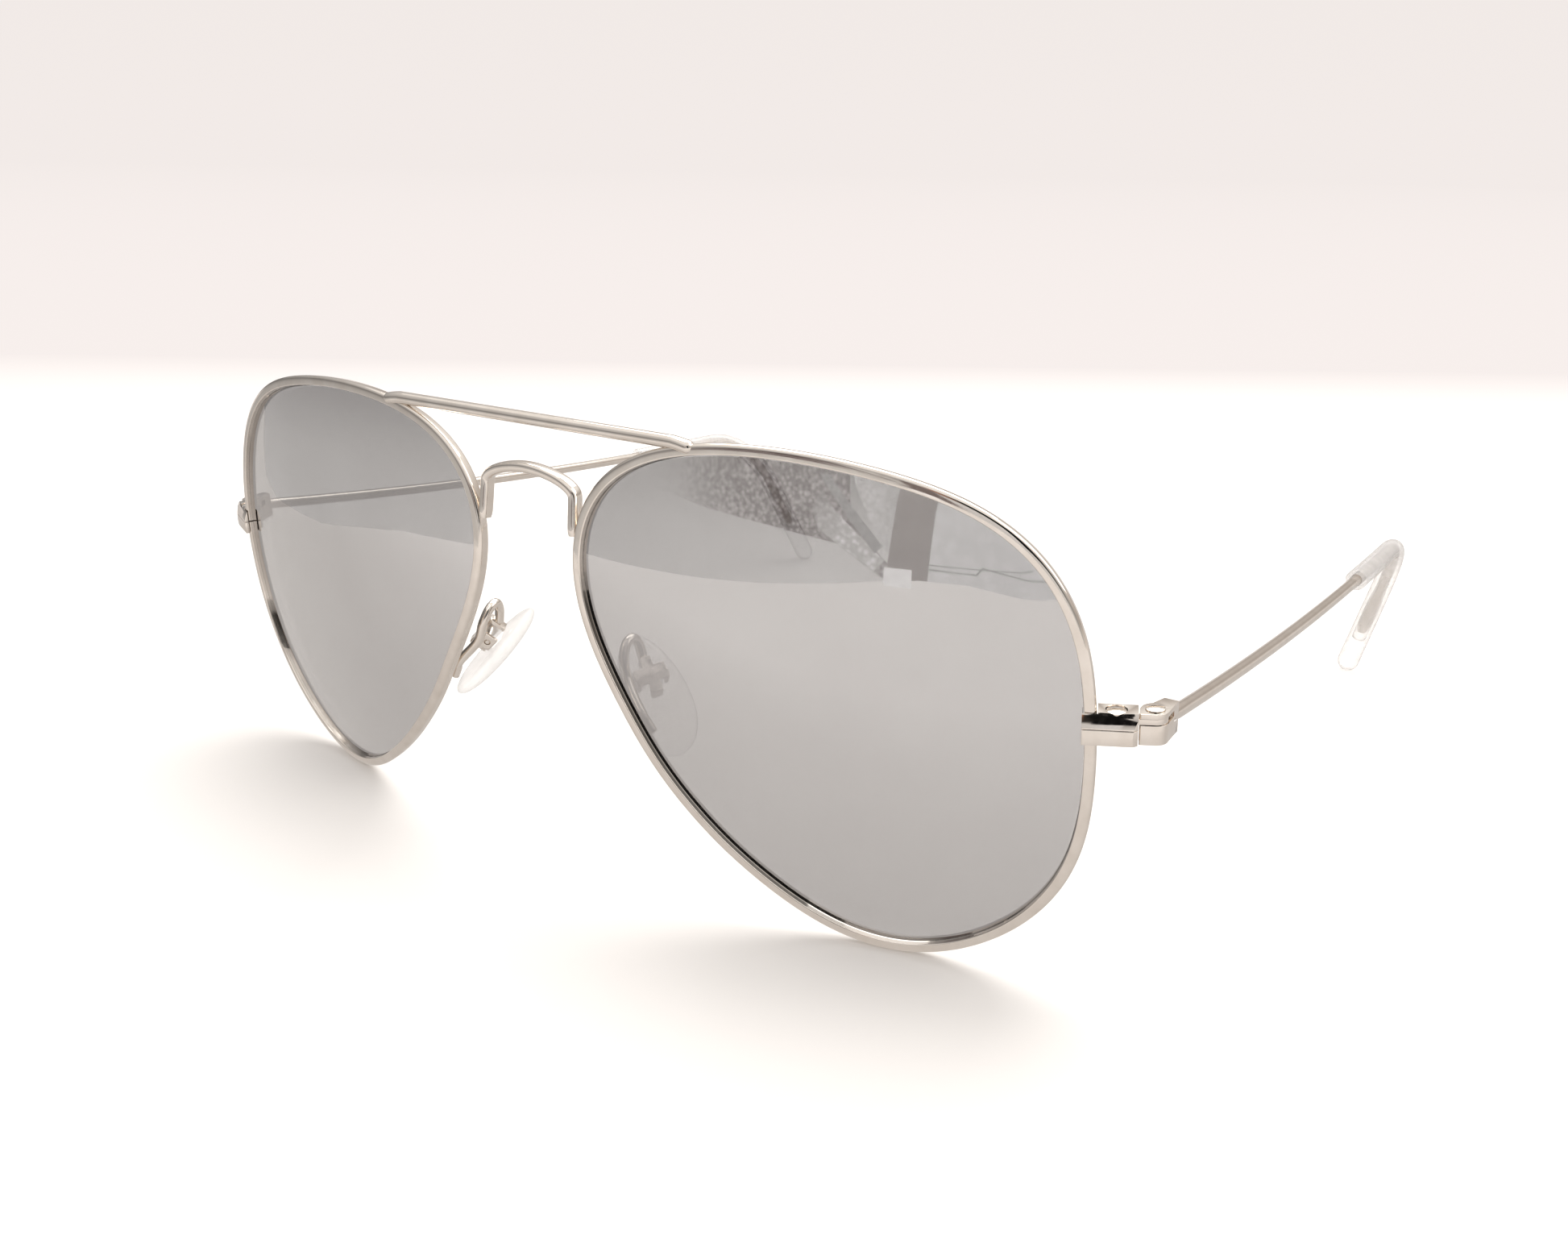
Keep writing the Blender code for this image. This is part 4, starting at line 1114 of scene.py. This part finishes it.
# Colours by height, from the horizon at 0 to straight up at 1: as the camera and as mirrors see them
BACKDROP_SHADES = ((0.0, (0.89, 0.83, 0.805)), (0.25, (0.86, 0.81, 0.78)))
MIRRORED_SHADES = (
    (0.0, (0.78, 0.73, 0.69)),
    (0.16, (0.44, 0.40, 0.37)),
    (0.34, (0.62, 0.57, 0.53)),
    (0.62, (1.0, 0.97, 0.94)),
)
AWAY_FROM_CAMERA = (-0.595, 0.804, 0.0)


def mottled_glow(name, dark, light, grain):
    """Nodes of a self-lit surface mottled between two colours, and their emission node."""
    nodes = Nodes(name)
    nodes.tree.nodes.remove(nodes.shader)
    cells = nodes.add("ShaderNodeTexVoronoi", {"Vector": nodes.coordinates, "Scale": grain})
    cloud = nodes.noise(grain * 0.12, 2.0)
    mottling = nodes.calculate("MULTIPLY_ADD", cloud, 0.9, cells.outputs["Distance"])
    colour = nodes.blend(nodes.ramp(mottling, 0.0, 1.0, 0.45, 1.15), light, dark)
    glow = nodes.add("ShaderNodeEmission", {"Color": colour, "Strength": 1.0})
    nodes.finish_with(glow.outputs["Emission"])
    return nodes, glow


def glow_material(name, dark, light, grain, fade=()):
    """A self-lit material. fade is where it starts to show and where it is whole."""
    nodes, glow = mottled_glow(name, dark, light, grain)
    if fade:
        start, end = fade
        direction = (end - start) / ((end - start) @ (end - start))
        reached = nodes.along(direction)
        share = nodes.ramp(reached, 0.0, 1.0, start @ direction, end @ direction, "SMOOTHSTEP")
        nothing = nodes.add("ShaderNodeBsdfTransparent", {}).outputs["BSDF"]
        nodes.finish_with(nodes.mix_shaders(share, nothing, glow.outputs["Emission"]))
    return nodes.material


def mirrored_white():
    """White paper as the mirrors see it: half lit, half glowing, brighter towards the front right."""
    nodes = Nodes("mirrored_white")
    grain = nodes.noise(30.0, 4.0)
    nodes.link(nodes.blend(grain, (0.44, 0.425, 0.415), (0.46, 0.445, 0.435)), "Base Color")
    nodes.set(Roughness=0.8, Emission_Color=(1.0, 0.972, 0.957, 1.0))
    forward = nodes.along((0.3, -0.9, 0.0))
    nodes.link(nodes.ramp(forward, 0.29, 0.60, 0.055, 0.13), "Emission Strength")
    return nodes.material


def room_material():
    """The self-lit room in front, shaded smoothly by height and darker far to the left."""
    nodes, glow = mottled_glow("room", (0.93, 0.90, 0.88), (1.0, 0.975, 0.955), 3.0)
    heights = [towards(0, elevation, ROOM_RADIUS)[2] for elevation, _ in ROOM_SHADES]
    span = heights[-1] - heights[0]
    shades = [
        ((height - heights[0]) / span, (shade,) * 3) for height, (_, shade) in zip(heights, ROOM_SHADES)
    ]
    parts = nodes.add("ShaderNodeSeparateXYZ", {"Vector": nodes.coordinates})
    by_height = nodes.stops(nodes.ramp(parts.outputs["Z"], 0.0, 1.0, heights[0], heights[-1]), shades)
    by_side = nodes.ramp(parts.outputs["X"], 0.66, 1.0, -ROOM_RADIUS, -0.45)
    strength = nodes.calculate("MULTIPLY", by_height, by_side)
    nodes.tree.links.new(strength, glow.inputs["Strength"])
    return nodes.material


def stage_object(name, points, faces, material, seen_directly):
    """A studio surface: seen by the camera only, or in mirrors only."""
    mesh = bpy.data.meshes.new(name)
    mesh.from_pydata([tuple(map(float, point)) for point in points], [], faces)
    mesh.materials.append(material)
    item = in_scene(name, mesh)
    if seen_directly:
        item.visible_glossy = False
    else:
        item.visible_camera = False
        item.visible_diffuse = False
        item.visible_shadow = False
        item.visible_transmission = False


def towards(azimuth, elevation, distance):
    """A point of the room in a direction: azimuth 0 is -Y, growing towards +X."""
    turn, rise = math.radians(azimuth), math.radians(elevation)
    direction = (math.sin(turn) * math.cos(rise), -math.cos(turn) * math.cos(rise), math.sin(rise))
    return ROOM_CENTRE + distance * np.array(direction)


def floor_material():
    """White sheet that turns into the slightly grey backdrop behind the sunglasses."""
    nodes = Nodes("pale_floor")
    nodes.set(Roughness=0.6, Specular_IOR_Level=0.1)
    grain = nodes.noise(30.0, 4.0)
    nodes.link(nodes.blend(grain, (0.925, 0.895, 0.865), (0.935, 0.905, 0.875)), "Base Color")
    away = nodes.along(AWAY_FROM_CAMERA)
    share = nodes.ramp(away, 0.0, 1.0, COVE_START, COVE_END)
    far = nodes.ramp(away, 0.0, 1.0, COVE_END, FLOOR_REACH)
    shade = nodes.blend(far, (0.935, 0.868, 0.843), (0.89, 0.83, 0.805))
    glow = nodes.add("ShaderNodeEmission", {"Color": shade, "Strength": 1.0}).outputs["Emission"]
    nodes.finish_with(nodes.mix_shaders(share, nodes.shader.outputs["BSDF"], glow))
    return nodes.material


def build_ground():
    """The floor that the camera sees, the sheet that the mirrors see, and the white block on it."""
    reach = FLOOR_REACH
    corners = [(-reach, -reach, 0), (reach, -reach, 0), (reach, reach, 0), (-reach, reach, 0)]
    stage_object("floor", corners, [(0, 1, 2, 3)], floor_material(), True)
    edge = [(x * MM, y * MM, 0.0) for x, y in SHEET_EDGE]
    sheet = [*edge, (reach, 0.5, 0), (reach, reach, 0), (-reach, reach, 0), (-reach, 0.5, 0)]
    stage_object("sheet", sheet, [tuple(range(len(sheet)))], mirrored_white(), False)
    xs, ys, zs = zip(*WHITE_BLOCK)
    block = [(x * MM, y * MM, z * MM) for x in xs for y in ys for z in zs]
    sides = [(0, 1, 3, 2), (4, 6, 7, 5), (0, 4, 5, 1), (2, 3, 7, 6), (1, 5, 7, 3), (0, 2, 6, 4)]
    pale = glow_material("white_block", (0.96, 0.94, 0.935), (1.10, 1.08, 1.07), 300.0)
    stage_object("white_block", block, sides, pale, False)


def build_room():
    """What only the mirrors see in front: a dome, the shapes before it and the camera's back."""
    points = [towards(a, e, ROOM_RADIUS) for e in ROOM_ELEVATIONS for a in ROOM_AZIMUTHS]
    count = len(ROOM_AZIMUTHS)
    faces = [
        (row * count + i, row * count + i + 1, (row + 1) * count + i + 1, (row + 1) * count + i)
        for row in range(len(ROOM_ELEVATIONS) - 1)
        for i in range(count - 1)
    ]
    stage_object("room", points, faces, room_material(), False)
    for piece in ROOM_PIECES:
        distance = piece["distance"]
        points = [towards(*corner, distance) for corner in piece["corners"]]
        fade = [towards(*place_at, distance) for place_at in piece.get("fade", ())]
        material = glow_material(piece["name"], piece["dark"], piece["light"], piece["grain"], fade)
        stage_object(piece["name"], points, [tuple(range(len(points)))], material, False)
    wide, tall = CAMERA_BACK_SIZE
    centre, right, up = to_world(CAMERA_AT), TURN @ CAMERA_RIGHT, TURN @ CAMERA_UP
    middle = centre + 0.004 * np.cross(right, up)
    signs = ((-1, -1), (1, -1), (1, 1), (-1, 1))
    points = [middle + right * x * wide / 2 + up * y * tall / 2 for x, y in signs]
    black = glow_material("camera_back", (0.004, 0.004, 0.004), (0.012, 0.012, 0.012), 9.0)
    stage_object("camera_back", points, [(0, 1, 2, 3)], black, False)


def add_light(name, place_at, target, size, power, colour):
    light = bpy.data.lights.new(name, "AREA")
    light.shape = "RECTANGLE"
    light.size, light.size_y = size
    light.energy = power
    light.color = colour
    item = in_scene(name, light)
    item.location = place_at
    direction = Vector(target) - Vector(place_at)
    item.rotation_euler = direction.to_track_quat("-Z", "Y").to_euler()


def build_light():
    """A warm white room for lighting, the grey backdrop for the camera, a ceiling and walls for mirrors."""
    world = bpy.data.worlds.new("studio")
    bpy.context.scene.world = world
    world.use_nodes = True
    nodes = Tree(world.node_tree)
    lighting = nodes.tree.nodes["Background"]
    lighting.inputs["Color"].default_value = (1.0, 0.975, 0.955, 1.0)
    lighting.inputs["Strength"].default_value = 0.74
    ray = nodes.add("ShaderNodeLightPath", {}).outputs
    direction = nodes.add("ShaderNodeTexCoord", {}).outputs["Generated"]
    height = nodes.add("ShaderNodeSeparateXYZ", {"Vector": direction}).outputs["Z"]
    backdrop, mirrored = (
        nodes.add("ShaderNodeBackground", {"Color": nodes.stops(height, shades)}).outputs["Background"]
        for shades in (BACKDROP_SHADES, MIRRORED_SHADES)
    )
    unseen = nodes.mix_shaders(ray["Is Glossy Ray"], lighting.outputs["Background"], mirrored)
    surroundings = nodes.mix_shaders(ray["Is Camera Ray"], unseen, backdrop)
    nodes.tree.links.new(surroundings, nodes.tree.nodes["World Output"].inputs["Surface"])
    add_light("key", (-0.12, 0.22, 0.75), (0, -0.02, 0), (0.85, 0.60), 5.6, (1.0, 0.985, 0.97))
    add_light("fill", (0.60, 0.10, 0.60), (0, 0, 0), (0.6, 0.6), 1.6, (1.0, 0.98, 0.96))


def build_camera():
    """The camera at the photographed view."""
    camera = bpy.data.cameras.new("camera")
    camera.lens = CAMERA_LENS
    camera.sensor_width = SENSOR_WIDTH
    camera.clip_start = 0.005
    item = in_scene("camera", camera)
    right, up = TURN @ CAMERA_RIGHT, TURN @ CAMERA_UP
    item.matrix_world = axes_at(to_world(CAMERA_AT), right, up, np.cross(right, up))
    bpy.context.scene.camera = item


metal = plated_metal("warm_silver_plating", (0.87, 0.81, 0.745), (0.80, 0.735, 0.665), (0.04, 0.12), 0.25)
coat = mirror_coat()
tint = tinted_back()
# The darker colour given to each clear plastic is painted shade, laid along its outline by viewing angle
clear_sock = clear_plastic("clear_sock", (0.90, 0.89, 0.88), (0.42, 0.40, 0.39), (0.20, 0.75))
clear_pad = clear_plastic("clear_pad", (0.90, 0.90, 0.90), (0.42, 0.415, 0.41), (0.07, 0.62))

build_rims(metal)
build_lenses(coat, tint)
build_bridge(metal)
build_brow(metal)
build_blocks(metal)
build_hinges(metal)
build_rods(metal)
build_socks(clear_sock)
build_pads(metal, clear_pad)
build_pad_arms(metal)
build_ground()
build_room()
build_light()
build_camera()
bpy.context.scene.view_settings.view_transform = "Standard"
